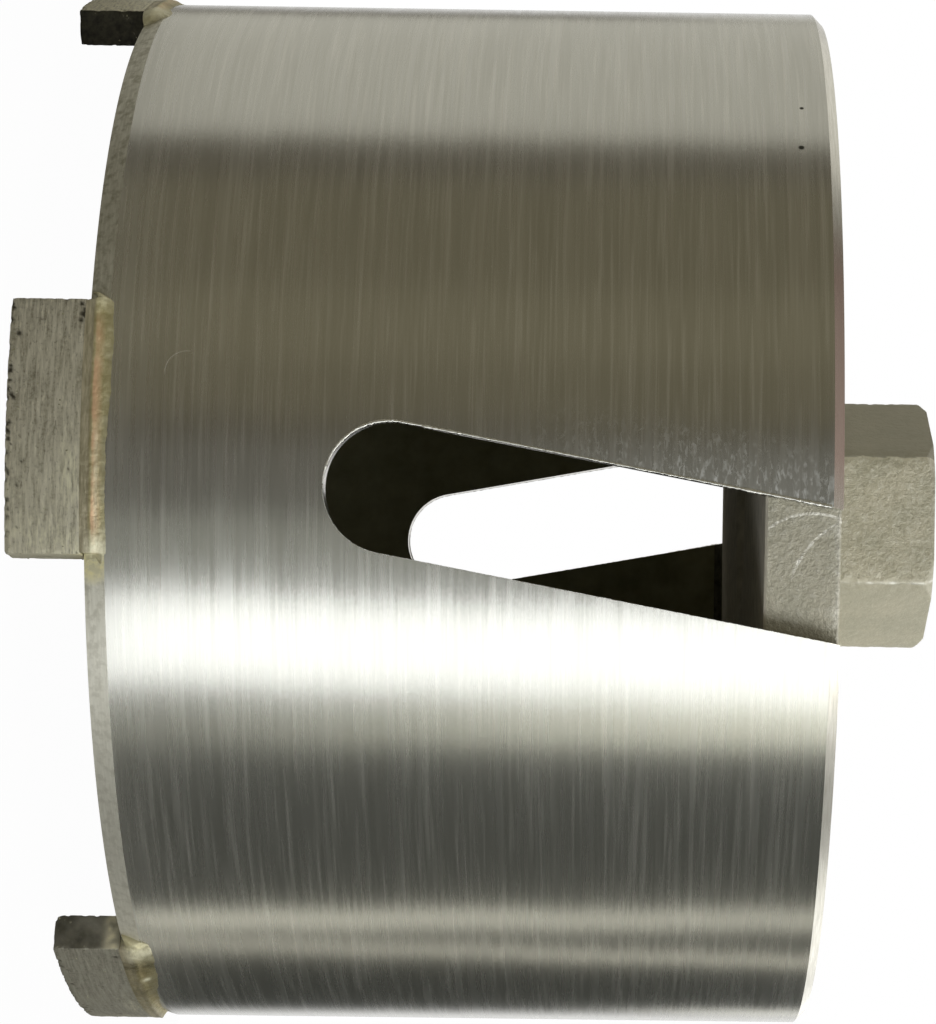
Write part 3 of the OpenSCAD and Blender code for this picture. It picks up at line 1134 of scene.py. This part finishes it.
# %% [markdown]
# ## Pits
# A pit shows where a grain came out. Dice with a fixed seed for each segment place them, so
# every run gives the same ones: most on the outer face and near the cutting edge, and on
# the near segment a dense row along that edge.

# %% Pits
LOST_ANYWHERE = 40
LOST_AT_EDGE = (26, 2, 2, 2, 2)
LOST_AT_END = (6, 1, 1, 1, 1)


def segment_pits(number, half):
    """Places where a grain has come out, each with its width and depth."""
    dice = random.Random(100 + number)
    pits = []
    for k in range(LOST_ANYWHERE):
        spot = [dice.uniform(-h, h) for h in half]
        axis = dice.choice((1, 1, 1, 2, 0))
        if axis == 2:
            spot[2] = -half[2]
        else:
            spot[axis] = half[axis] * (1 if axis == 1 and k % 3 else dice.choice((-1, 1)))
            if k % 4:
                spot[2] = -half[2] + dice.expovariate(2.2)
        pits.append((Vector(spot), dice.uniform(0.12, 0.30), dice.uniform(0.06, 0.16)))
    for _ in range(LOST_AT_EDGE[number]):
        spot = Vector((dice.uniform(-half[0], half[0]), half[1], -half[2] + dice.uniform(0.0, 0.35)))
        pits.append((spot, dice.uniform(0.14, 0.26), dice.uniform(0.05, 0.10)))
    for _ in range(LOST_AT_END[number]):
        spot = Vector((-half[0] + dice.uniform(0.2, 3.0), half[1], half[2] - dice.uniform(0.1, 0.7)))
        pits.append((spot, dice.uniform(0.15, 0.28), 0.10))
    return pits


print("pits on each segment", [LOST_ANYWHERE + a + b for a, b in zip(LOST_AT_EDGE, LOST_AT_END)])

# %% [markdown]
# ## Smears of braze
# Braze was smeared over parts of the near segment, over one end of the next one and over
# nearly all of the last one. A smear is a soft spot, so each is a middle, a width each way
# and a share, and the mesh carries their sum for the finish.

# %% Smears
# middle along and up, width along and up, share
SMEARS = ((4.0, 2.3, 3.2, 0.75, 1.0), (9.6, 0.3, 1.4, 3.2, 0.7), (10.6, 3.0, 0.8, 1.0, 1.0))


def braze_smear(number, flat, half, seed):
    """How much braze covers the segment at a point of the unbent block, from 0 to 1."""
    if flat.x < 0.05 - half[0]:
        smear = math.exp(-((flat.z - 2.35) / 0.65) ** 2) * (0.8 + 0.8 * rough(flat, 0.6, seed + 41.0))
        smear *= 1.0 if number == 1 else 0.0
    elif number == 4:
        smear = 0.8 if flat.x < half[0] - 0.05 else 0.0
    else:
        smear = 0.0
        for x, z, width, height, share in SMEARS:
            smear += math.exp(-((flat.x - x) / width) ** 2 - ((flat.z - z) / height) ** 2) * share
        smear *= 0.75 if number == 0 else 0.4
        if number == 0:
            smear += 0.16 * min(1.0, max(0.0, (flat.x - 1.0) / 4.0))
    return max(0.0, min(1.0, smear))


print("smears on the near segment", len(SMEARS))

# %% [markdown]
# ## Roughness of a segment
# A point sinks where the surface is rough, at a chipped or broken edge and inside a pit.
# Adding these up point by point gives all of them in one walk, and the deepest pit says how
# much shade is painted into the bond there. The face in the braze stays nearly flat.

# %% Roughness of a segment
INNER_BREAK = (0.0, 0.40, 0.10, 0.15, 0.20)


def sink_and_pit(number, flat, half, pits, seed):
    """How far a point of the block sinks, in millimetres, and how much shade is painted into a pit."""
    gaps = sorted(half[a] - abs(flat[a]) for a in range(3))
    edge = math.exp(-(gaps[1] / 0.25) ** 2)
    chip = max(0.0, rough(flat, 0.55, seed) - 0.05) * 0.30 * edge
    inner = math.exp(-((flat.z + half[2]) / 0.5) ** 2 - ((flat.y + half[1]) / 0.5) ** 2)
    chip += INNER_BREAK[number] * inner * (0.7 + 0.6 * rough(flat, 1.3, seed + 17.0))
    ripple = Vector((flat.x * 0.12, flat.y, flat.z))
    sink = 0.010 * rough(flat, 0.35, seed + 3.0) + 0.010 * rough(ripple, 0.28, seed + 5.0) - chip
    dark = 0.0
    for spot, width, depth in pits:
        near = (flat - spot).length / width
        if near < 1.0:
            sink -= depth * (1.0 - near * near)
            dark = max(dark, min(1.0, 2.2 * (1.0 - near)))
    if flat.z > half[2] - 0.3:
        sink = min(0.0, sink) * 0.3
    return sink, dark


print("inner edges broken by", INNER_BREAK, "mm")

# %% [markdown]
# ## Segments
# The block is rounded at its edges, roughened, and then bent round the barrel by turning
# its length into an angle. Its ends stay parallel, as on the real ones. Wear lifts the
# cutting face a little, differently for each segment.

# %% The segments
SEG_HALF = SEG_OUT_R * math.sin(SEG_LEN / SEG_OUT_R / 2)
SEG_ROUND = 0.12
SEG_SMOOTH = 50.0
SEG_WORN = (0.0, 0.28, 0.10, 0.12, 0.22)
# lighter coat on each segment's ends: partly ground steel, partly a painted highlight
END_CLEAN_AND_HIGHLIGHT = (1.7, 0.38, 0.3, 0.4, 0.0)
# darkening of each segment: partly a stain, and painted shade on the second segment
SEG_STAIN_AND_SHADE = (0.0, 0.58, 0.25, 0.35, 0.0)
END_FACES = 2 * SEG_STEPS[1] * SEG_STEPS[2]


def segment_mesh(number):
    half = [s / 2 for s in SEG_SIZE]
    pits = segment_pits(number, half)
    seed = 20.0 + number * 7.0
    middle = FIRST_SEG + number * math.tau / SEG_COUNT
    worn = SEG_WORN[number]
    points, marks = [], {"pit_shade": [], "pale": []}
    for key in lattice:
        flat = Vector([(key[a] / SEG_STEPS[a] - 0.5) * SEG_SIZE[a] for a in range(3)])
        core = Vector([max(-half[a] + SEG_ROUND, min(half[a] - SEG_ROUND, flat[a])) for a in range(3)])
        sink, dark = sink_and_pit(number, flat, half, pits, seed)
        spot = core + (flat - core).normalized() * (SEG_ROUND + sink - 0.012)
        reach = SEG_IN_R + half[1] + spot.y
        angle = middle + math.asin(spot.x / half[0] * SEG_HALF / reach)
        points.append(round_point(reach, angle, worn + (spot.z + half[2]) * (SEG_H - worn) / SEG_H))
        marks["pit_shade"].append(dark)
        marks["pale"].append(braze_smear(number, flat, half, seed))
    marks["clean_and_highlight"] = [END_CLEAN_AND_HIGHLIGHT[number]] * len(points)
    marks["stain_and_shade"] = [SEG_STAIN_AND_SHADE[number]] * len(points)
    mesh = new_mesh(f"segment_{number + 1}_worn", points, lattice_faces)
    write_marks(mesh, marks)
    for face in mesh.polygons:
        face.material_index = 1 if face.index < END_FACES else 0
    return mesh


segments = []
for number in range(SEG_COUNT):
    segment = add_object(f"segment_{number + 1}_worn", segment_mesh(number))
    settle(segment, SEG_SMOOTH)
    dress(segment, sintered_bond, sintered_end)
    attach(segment, "root")
    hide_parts(f"segment_{number + 1}")
    segments.append(segment)
print("segment faces", len(segments[0].data.polygons))

# %% [markdown]
# ## Braze finish
# Brass braze is golden where it is thick. Against the segment it is thin and shows copper,
# with a dark seam below, and further down it takes the segment's own grey. All of that
# goes by the height above the mouth, so the mesh carries that height as a mark called up,
# and a slow noise makes the borders wander.

# %% Braze finish
braze_metal, tree, shader = start_material("braze_metal", (0.70, 0.63, 0.40), 0.6, 0.40)
mottle = grain(tree, 1500.0, 3.0, 0.6)
streak = grain(tree, (500.0, 500.0, 3500.0), 3.0, 0.6)
patches = grain(tree, 450.0, 3.0)
up = plus(read_mark(tree, "up"), times(do_math("SUBTRACT", patches, 0.5), 0.35))
bond_like = two_tones(streak, (0.42, 0.38, 0.26), (0.70, 0.64, 0.47), 0.35, 0.65)
seam = times(ramp(up, 0.30, 0.48), ramp(up, 0.62, 0.78, 1.0, 0.0))
copper = times(ramp(up, 0.66, 0.82), ramp(up, 1.00, 1.60, 1.0, 0.0))
copper = times(copper, read_mark(tree, "copper"), ramp(patches, 0.30, 0.55, 0.45, 1.0))
stain_and_shade = times(read_mark(tree, "stain_and_shade"), ramp(up, 0.80, 1.20, 0.70, 1.0))
dark = times(read_mark(tree, "dark"), ramp(mottle, 0.35, 0.60, 1.0, 0.4))
pale = times(read_mark(tree, "pale"), ramp(mottle, 0.30, 0.62, 0.55, 1.0))
fade = times(read_mark(tree, "fade"), ramp(patches, 0.30, 0.60, 1.0, 0.3))
tone = paint(two_tones(mottle, (0.58, 0.52, 0.27), (0.88, 0.82, 0.54)), [
    (ramp(patches, 0.45, 0.66, 0.0, 0.6), (0.42, 0.37, 0.18)),
    (ramp(up, 0.45, 0.62, 1.0, 0.0), bond_like),
    (times(seam, 0.25), (0.20, 0.15, 0.08)),
    (copper, (0.90, 0.60, 0.38)),
    # darkening that is partly a stain and partly painted shade
    (stain_and_shade, (0.20, 0.165, 0.07)),
    (dark, (0.10, 0.085, 0.035)),
    # pale braze, with painted glints and a painted highlight line
    (pale, (0.99, 0.96, 0.74)),
    (times(fade, 0.7), (0.36, 0.34, 0.24)),
])
set_inputs(shader, {
    "Base Color": tone,
    "Metallic": ramp(pale, 0.0, 1.0, 0.6, 0.2),
    "Roughness": ramp(mottle, 0.3, 0.7, 0.38, 0.58),
    "Normal": bump(plus(mottle, times(streak, 0.5)), 0.8, 0.00014),
})
hub_braze = mottled_material(
    "hub_braze", (0.11, 0.10, 0.07), 0.5, 0.5, (1300.0, 3.0, 0.6),
    ((0.06, 0.055, 0.035), (0.17, 0.155, 0.10)), (0.5, 0.00006))[0]
print("braze finishes:", braze_metal.name, hub_braze.name)

# %% [markdown]
# ## What each bead looks like
# No two beads of braze set alike, so each has a small table. The lengths are millimetres
# along the segment from its middle. A bead runs past the segment's ends by lo and hi, and
# reach says how far it was drawn up the tube. The spots in pale, dark, stain and puff are
# each a middle, a width and a share. The pale spots are partly pale braze and partly painted
# glints, the stain is partly painted shade, line places a painted highlight line and glint
# one painted glint.

# %% The beads' tables
# pale spots are partly painted glints; line is a painted highlight line, glint a painted glint; stain is
# partly painted shade
BEADS = [
    {"lo": 0.95, "hi": 1.9, "copper": 0.9, "ragged": 0.08, "lip": 0.05, "foot": 0.8, "line": (0.0, 9.5),
     "reach": [(-12, 1.5), (-10.5, 2.0), (-7, 2.2), (-3, 2.1), (2, 1.85), (7, 1.8), (10.5, 1.9), (13, 1.9)],
     "pale": [(-11.4, 1.0, 0.45), (10.3, 1.1, 1.0)], "dark": [],
     "stain_and_shade": [(3.0, 6.0, 0.30)], "puff": [(-11.0, 1.0, 0.20), (9.8, 1.0, 0.10)]},
    {"lo": 0.95, "hi": 1.2, "copper": 0.15, "ragged": 0.10, "lip": 0.40, "foot": 0.55, "glint": (-4.4, 1.5),
     "reach": [(-12.5, 2.0), (-10.5, 2.55), (-8.5, 2.6), (-6, 2.5), (-3, 2.3), (0, 1.8), (6, 1.3), (12, 1.2)],
     "pale": [(-10.2, 1.3, 0.75)], "dark": [(-7.3, 1.4, 0.9), (-1.0, 1.5, 0.5)],
     "stain_and_shade": [(-2.0, 9.0, 0.85)], "puff": [(-10.2, 1.5, 0.40), (-4.2, 0.5, 0.08)]},
    {"lo": 1.3, "hi": 1.5, "copper": 0.5, "ragged": 0.10, "lip": 0.1,
     "reach": [(-12, 1.6), (-6, 2.0), (0, 1.4), (6, 1.8), (12, 1.7)],
     "pale": [(-11.2, 1.2, 0.7), (3.0, 1.0, 0.5)], "dark": [(7.0, 2.0, 0.6)],
     "stain_and_shade": [(0.0, 9.0, 0.25)], "puff": [(-11.2, 1.2, 0.25), (3.0, 1.0, 0.15)]},
    {"lo": 1.6, "hi": 1.1, "copper": 0.4, "ragged": 0.12, "lip": 0.2,
     "reach": [(-12, 1.8), (-5, 1.5), (1, 2.1), (8, 1.6), (12, 1.5)],
     "pale": [(10.9, 1.4, 0.8)], "dark": [(-6.0, 1.8, 0.6)],
     "stain_and_shade": [(0.0, 9.0, 0.35)], "puff": [(10.9, 1.4, 0.3)]},
    {"lo": 1.2, "hi": 1.7, "copper": 0.35, "ragged": 0.10, "lip": 0.1,
     "reach": [(-12, 1.7), (-8, 1.5), (0, 1.9), (7, 1.6), (10, 2.2), (12.5, 1.9)],
     "pale": [(11.2, 1.6, 0.9)], "dark": [(5.0, 1.6, 0.5)],
     "stain_and_shade": [(0.0, 9.0, 0.15)], "puff": [(11.2, 1.5, 0.3)]},
]


def read_table(table, at):
    """A smooth curve through the points of a table."""
    if at <= table[0][0]:
        return table[0][1]
    for (a, low), (b, high) in zip(table, table[1:]):
        if at <= b:
            t = (at - a) / (b - a)
            return low + (high - low) * t * t * (3 - 2 * t)
    return table[-1][1]


def read_spots(spots, at):
    return max([0.0] + [share * math.exp(-((at - middle) / width) ** 2) for middle, width, share in spots])


print("beads described:", len(BEADS))

# %% [markdown]
# ## Section of a bead
# Braze creeps up the relief, fills the gap under the segment and leaves a hollow lip on
# its inner side. A bevelled curve has one section all along, but a bead's section changes:
# flush with the segment along it, and past its ends a tongue that thins out on the relief.
# So each step along the bead gets its own closed section.

# %% Bead section
BEAD_ROWS = 16


def relief_r(z):
    """The tube's outside radius near its mouth."""
    up = min(1.0, max(0.0, (z - MOUTH_Z) / RELIEF_LEN))
    return BARREL_R - RELIEF_DEPTH * (1.0 - up)


def bead_section(look, along, seed):
    """The closed section at a distance from the segment's middle, and the height marks."""
    past = max(0.0, abs(along) - SEG_HALF + 0.15)
    over = look["hi"] if along > 0 else look["lo"]
    long_end = over >= 1.8
    fall = math.sqrt(max(0.0, 1.0 - (past / (over + 0.15)) ** (8 if long_end and along >= 0 else 2)))
    at = (along, 0.0, 0.0)
    ragged = look["ragged"] * (rough(at, 1.2, seed) + 0.8 * rough(at, 0.4, seed + 5.0))
    reach = read_table(look["reach"], along) + ragged
    top = MOUTH_Z + max(0.25, reach) * fall + 0.05
    puff = 0.05 + 0.10 * max(0.0, rough(at, 2.0, seed + 9.0)) + read_spots(look["puff"], along)
    flush = 1.0 - min(1.0, past / 0.3)
    thick = 0.18 if long_end else 0.98
    outside = (SEG_OUT_R - 0.01) * flush + (relief_r(MOUTH_Z) + thick * fall) * (1.0 - flush)
    tongue = over > 1.8 and past > 0.1
    start = 0.2 if tongue else look.get("foot", -0.22) * fall
    foot = (SEG_H - 0.10) * flush + (MOUTH_Z + start) * (1.0 - flush)
    bulge = 1.5 - 1.7 * min(0.4, read_spots(look["puff"], along))
    rows, ups = [], []
    for k in range(BEAD_ROWS):
        t = k / (BEAD_ROWS - 1)
        z = foot + (top - foot) * t
        ridge = 1.0 - min(1.0, max(0.0, (z - MOUTH_Z - 0.75) / max(0.3, top - MOUTH_Z - 0.75)))
        r = relief_r(top) + 0.02 + (outside - relief_r(top) - 0.02) * ridge ** bulge
        groove = 0.04 * math.exp(-((z - MOUTH_Z - 0.45) / 0.16) ** 2) * flush
        small = 0.03 * rough((along, z, 7.0), 0.5, seed + 21.0)
        r += (puff * math.sin(math.pi * t) + small * math.sin(math.pi * t) - groove) * fall
        r = max(r, relief_r(z) + 0.02 * fall)
        if tongue:
            shown = past < 0.8 + 0.8 * rough((3.0, 0.0, z), 0.5, seed + 31.0) and z < MOUTH_Z + 1.8
            r = relief_r(z) + (0.05 if shown else -0.06)
        rows.append((r, z))
        ups.append(max(0.0, z - MOUTH_Z))
    low = MOUTH_Z + (0.9 + 0.4 * rough(at, 2.5, seed + 13.0)) * fall
    inside = (SEG_IN_R - 0.03) * flush + (BORE_R + 0.6 - 0.35 * fall) * (1.0 - flush)
    rows += [
        (relief_r(top) - 0.25, top - 0.02),
        (BORE_R + 1.2, MOUTH_Z + 0.35),
        (BORE_R + 0.25, low - 0.02),
        (BORE_R - 0.03, low),
        ((BORE_R + SEG_IN_R) / 2 + 0.12, (low + SEG_H) / 2 - 0.05),
        (inside, foot),
        (BORE_R + 0.4, foot + 0.02),
        (BORE_R + 1.2, foot + 0.02),
        (BORE_R + 2.0, foot + 0.02),
    ]
    ups += [1.5] * (len(rows) - BEAD_ROWS)
    return rows, ups


print("points in a bead's section", len(bead_section(BEADS[0], 0.0, 0.0)[0]))

# %% [markdown]
# ## Marks on a bead
# The finish has to know where it is on a bead. So each point carries its height, its share
# of copper, of the pale spots, which are partly pale braze and partly painted glints and a
# painted highlight line, of the dark spots and of the stain, which is partly painted shade,
# and a fade where the bead thins out above. A table for each bead keeps them easy to change
# one by one.

# %% Bead marks
NO_GLINT = (0.0, -9.0)


def bead_marks(look, along, ups):
    """The marks for one section."""
    on_segment = 1.0 if abs(along) < SEG_HALF else 0.0
    begin, stop = look.get("line", (0.0, 0.0))
    line = 0.5 * min(1.0, max(0.0, min(along - begin, stop - along) / 1.5))
    glint_at, glint_up = look.get("glint", NO_GLINT)
    spots = read_spots(look["pale"], along)
    count = len(ups)
    pale = []
    for u in ups:
        value = spots * min(1.0, max(1.0 - on_segment, u * 1.2))
        # a painted highlight line along the copper
        value += line * math.exp(-((u - 1.12) / 0.15) ** 2)
        # a painted glint
        value += math.exp(-((along - glint_at) / 0.4) ** 2 - ((u - glint_up) / 0.35) ** 2)
        pale.append(min(1.0, value))
    thins = [max(0.0, (k / (BEAD_ROWS - 1) - 0.6) / 0.4) for k in range(BEAD_ROWS)]
    return {
        "up": [max(u - look["lip"], 1.0 - on_segment) for u in ups],
        "copper": [look["copper"] * on_segment * min(1.0, max(0.0, (along + 10.0) / 2.5))] * count,
        "pale": pale,
        "dark": [read_spots(look["dark"], along)] * count,
        "stain_and_shade": [read_spots(look["stain_and_shade"], along)] * count,
        "fade": thins + [0.0] * (count - BEAD_ROWS),
    }


print("marks on a bead", sorted(bead_marks(BEADS[0], 0.0, [0.0] * BEAD_ROWS)))

# %% [markdown]
# ## Beads
# A bead is its sections joined in a row. They stand closest together at both ends, where
# the bead changes most, and a face closes each end.

# %% The beads
BEAD_STEPS = 220
BEAD_SMOOTH = 60.0


def bead_mesh(number):
    look = BEADS[number]
    middle = FIRST_SEG + number * math.tau / SEG_COUNT
    first, last = SEG_HALF + look["lo"] - 0.01, SEG_HALF + look["hi"] - 0.01
    points, marks = [], {}
    for k in range(BEAD_STEPS + 1):
        t = 0.5 - 0.5 * math.cos(math.pi * k / BEAD_STEPS)
        along = -first + (first + last) * t
        angle = middle + math.asin(along / SEG_OUT_R)
        rows, ups = bead_section(look, along, 40.0 + number * 11.0)
        points += [round_point(r, angle, z) for r, z in rows]
        for name, values in bead_marks(look, along, ups).items():
            marks.setdefault(name, []).extend(values)
    count = len(rows)
    faces = join_rings(BEAD_STEPS + 1, count, closed=False)
    faces.append(tuple(range(count)))
    faces.append(tuple(BEAD_STEPS * count + j for j in range(count - 1, -1, -1)))
    mesh = new_mesh(f"braze_bead_{number + 1}", points, faces)
    write_marks(mesh, marks)
    return mesh


for number in range(SEG_COUNT):
    bead = add_object(f"braze_bead_{number + 1}", bead_mesh(number))
    settle(bead, BEAD_SMOOTH)
    dress(bead, braze_metal)
    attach(bead, "root")
    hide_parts(f"segment_braze_{number + 1}")
print("bead faces", len(bead.data.polygons))

# %% [markdown]
# ## Brazes of the flange
# Two brazes hold the flange, and only a trace of them shows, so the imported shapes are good
# enough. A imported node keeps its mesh, and its material slots get the dull finish.

# %% The flange's brazes
for number in (1, 2):
    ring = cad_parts[f"hub_braze_{number}"]
    ring.data.materials.clear()
    dress(ring, hub_braze)
print("flange brazes keep their packed shape")

# %% [markdown]
# ## Burrs
# A milled slot keeps a thin burr along its outer edge, and the light catches it as a fine
# bright line: strongest round the closed end, almost gone on the lower side. It follows the
# edge, so a node tree sweeps a small round wire along a path, with a size that wanders.

# %% Burr finish and tree
burr_steel, tree, shader = start_material("burr_steel", (0.86, 0.85, 0.80), 1.0, 0.32)
set_inputs(shader, {"Roughness": ramp(grain(tree, 2600.0), 0.3, 0.7, 0.22, 0.5)})

burr_tree, given = start_tree("edge_burr", {
    label: "NodeSocketFloat" for label in ("Wire Radius", "Grain Size", "Step")})
curve = grow(burr_tree, "GeometryNodeMeshToCurve", {"Mesh": given["Geometry"]})
even = grow(burr_tree, "GeometryNodeResampleCurve", {"Curve": curve, "Length": given["Step"]}, mode="LENGTH")
named = add_node(burr_tree, "GeometryNodeInputNamedAttribute", {"Name": "strength"}, data_type="FLOAT")
strength = named.outputs["Attribute"]
wander = add_node(burr_tree, "ShaderNodeTexNoise", {
    "Vector": grow(burr_tree, "GeometryNodeInputPosition"),
    "Scale": do_math("DIVIDE", 1.0, given["Grain Size"]),
    "Detail": 3.0,
}).outputs
drift = do_vector("SUBTRACT", wander["Color"], (0.5, 0.5, 0.5))
drift = scale_vector(drift, times(given["Wire Radius"], 0.9))
even = grow(burr_tree, "GeometryNodeSetPosition", {"Geometry": even, "Offset": drift})
size = times(strength, ramp(wander["Fac"], 0.38, 0.66, 0.85, 1.6), given["Wire Radius"])
ring = grow(burr_tree, "GeometryNodeCurvePrimitiveCircle", {"Resolution": 6, "Radius": 1.0}, mode="RADIUS")
wire = grow(burr_tree, "GeometryNodeCurveToMesh", {
    "Curve": even, "Profile Curve": ring, "Scale": size, "Fill Caps": True})
end_tree(burr_tree, wire, burr_steel)
print("burr tree nodes", len(burr_tree.nodes))

# %% [markdown]
# ## The burrs' paths
# The path is the slot's outline laid on the tube, which the cutter has already given. Each
# point carries a strength: full on the upper side and round the end, faint below, and
# heavier again near the flange.

# %% The slot burrs
BURR_STEP = 0.4
HEAVY_FROM = 56.0


def burr_path(side):
    """The slot's outer edge on the tube, as a line of points with a strength at each."""
    points, strengths = [], []
    outline = slot_outline(60)
    for (x0, z0), (x1, z1) in zip(outline, outline[1:]):
        steps = max(1, round(math.hypot(x1 - x0, z1 - z0) / BURR_STEP))
        for k in range(steps):
            t = k / steps
            x, z = x0 + (x1 - x0) * t, z0 + (z1 - z0) * t
            if z > BACK_Z - BACK_BEVEL - 0.1:
                continue
            lean = (x - (z - SLOT_END_Z) * math.tan(SLOT_LEAN)) / (SLOT_W / 2)
            upper = min(1.0, max(0.0, 0.55 - lean))
            strength = 0.16 + 0.84 * upper
            if z < SLOT_END_Z + 6.0:
                strength = max(strength, 1.3 * upper)
            if z > HEAVY_FROM and upper > 0.5:
                strength *= 1.0 + 0.5 * min(1.0, (z - HEAVY_FROM) / 6.0)
            y = -math.sqrt(BARREL_R ** 2 - x * x)
            points.append((side * x * MM, side * y * MM, z * MM))
            strengths.append(strength)
    mesh = new_mesh("burr_path", points, [], [(k, k + 1) for k in range(len(points) - 1)])
    write_marks(mesh, {"strength": strengths})
    return mesh


for name, side in (("burr_front", 1), ("burr_back", -1)):
    burr = add_object(name, burr_path(side))
    run_tree(burr, burr_tree, {"Wire Radius": 0.10 * MM, "Grain Size": 0.35 * MM, "Step": 0.12 * MM})
    settle(burr, 60.0)
    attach(burr, "root")
    print(name, "faces", len(burr.data.polygons))

# %% [markdown]
# ## Diamond grains
# Diamond grains stand out of the bond by a hair, which is what cuts. They are many and all
# alike, so a node tree scatters one small crystal over each segment, sunk into the face,
# turned and scaled at random. The seed is an input, so every run gives the same grains.

# %% The diamond grains
diamond, tree, shader = start_material("diamond_grain", (0.55, 0.53, 0.36), 0.0, 0.18)
tint = grain(tree, 900.0, 1.0)
set_inputs(shader, {"Base Color": two_tones(tint, (0.22, 0.21, 0.13), (0.66, 0.64, 0.46), 0.35, 0.65)})

grain_tree, given = start_tree("grain_scatter", {
    "Grain Radius": "NodeSocketFloat",
    "Density": "NodeSocketFloat",
    "Sunk": "NodeSocketFloat",
    "Seed": "NodeSocketInt",
})
scatter = add_node(grain_tree, "GeometryNodeDistributePointsOnFaces", {
    "Mesh": given["Geometry"], "Density": given["Density"], "Seed": given["Seed"],
}, distribute_method="RANDOM").outputs
inward = scale_vector(scatter["Normal"], times(given["Sunk"], -1.0))
sunk = grow(grain_tree, "GeometryNodeSetPosition", {"Geometry": scatter["Points"], "Offset": inward})
crystal = grow(grain_tree, "GeometryNodeMeshIcoSphere", {"Radius": given["Grain Radius"], "Subdivisions": 1})
full_turn = {"Max": (6.283, 6.283, 6.283), "Seed": given["Seed"]}
turn = grow(grain_tree, "FunctionNodeRandomValue", full_turn, data_type="FLOAT_VECTOR")
sizes = {2: 0.7, 3: 1.15, "Seed": given["Seed"]}
amount = add_node(grain_tree, "FunctionNodeRandomValue", sizes, data_type="FLOAT").outputs[1]
crystals = grow(grain_tree, "GeometryNodeInstanceOnPoints", {
    "Points": sunk, "Instance": crystal, "Rotation": turn, "Scale": amount})
end_tree(grain_tree, crystals, diamond)

for number, segment in enumerate(segments):
    grains = add_object(f"grains_{number + 1}", segment.data.copy())
    grains.data.materials.clear()
    run_tree(grains, grain_tree, {
        "Grain Radius": 0.15 * MM, "Density": 0.45 / MM ** 2, "Sunk": 0.12 * MM, "Seed": 7 + number})
    settle(grains, 10.0)
    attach(grains, "root")
print("grain faces", len(grains.data.polygons))

# %% [markdown]
# ## Size at the end
# The visual model has to keep the imported part's size. Both boxes are printed.

# %% The size, and the end
visual_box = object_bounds()
for name, box in (("packed", cad_box), ("visual", visual_box)):
    print(name, [round(v / MM, 2) for corner in box for v in corner])
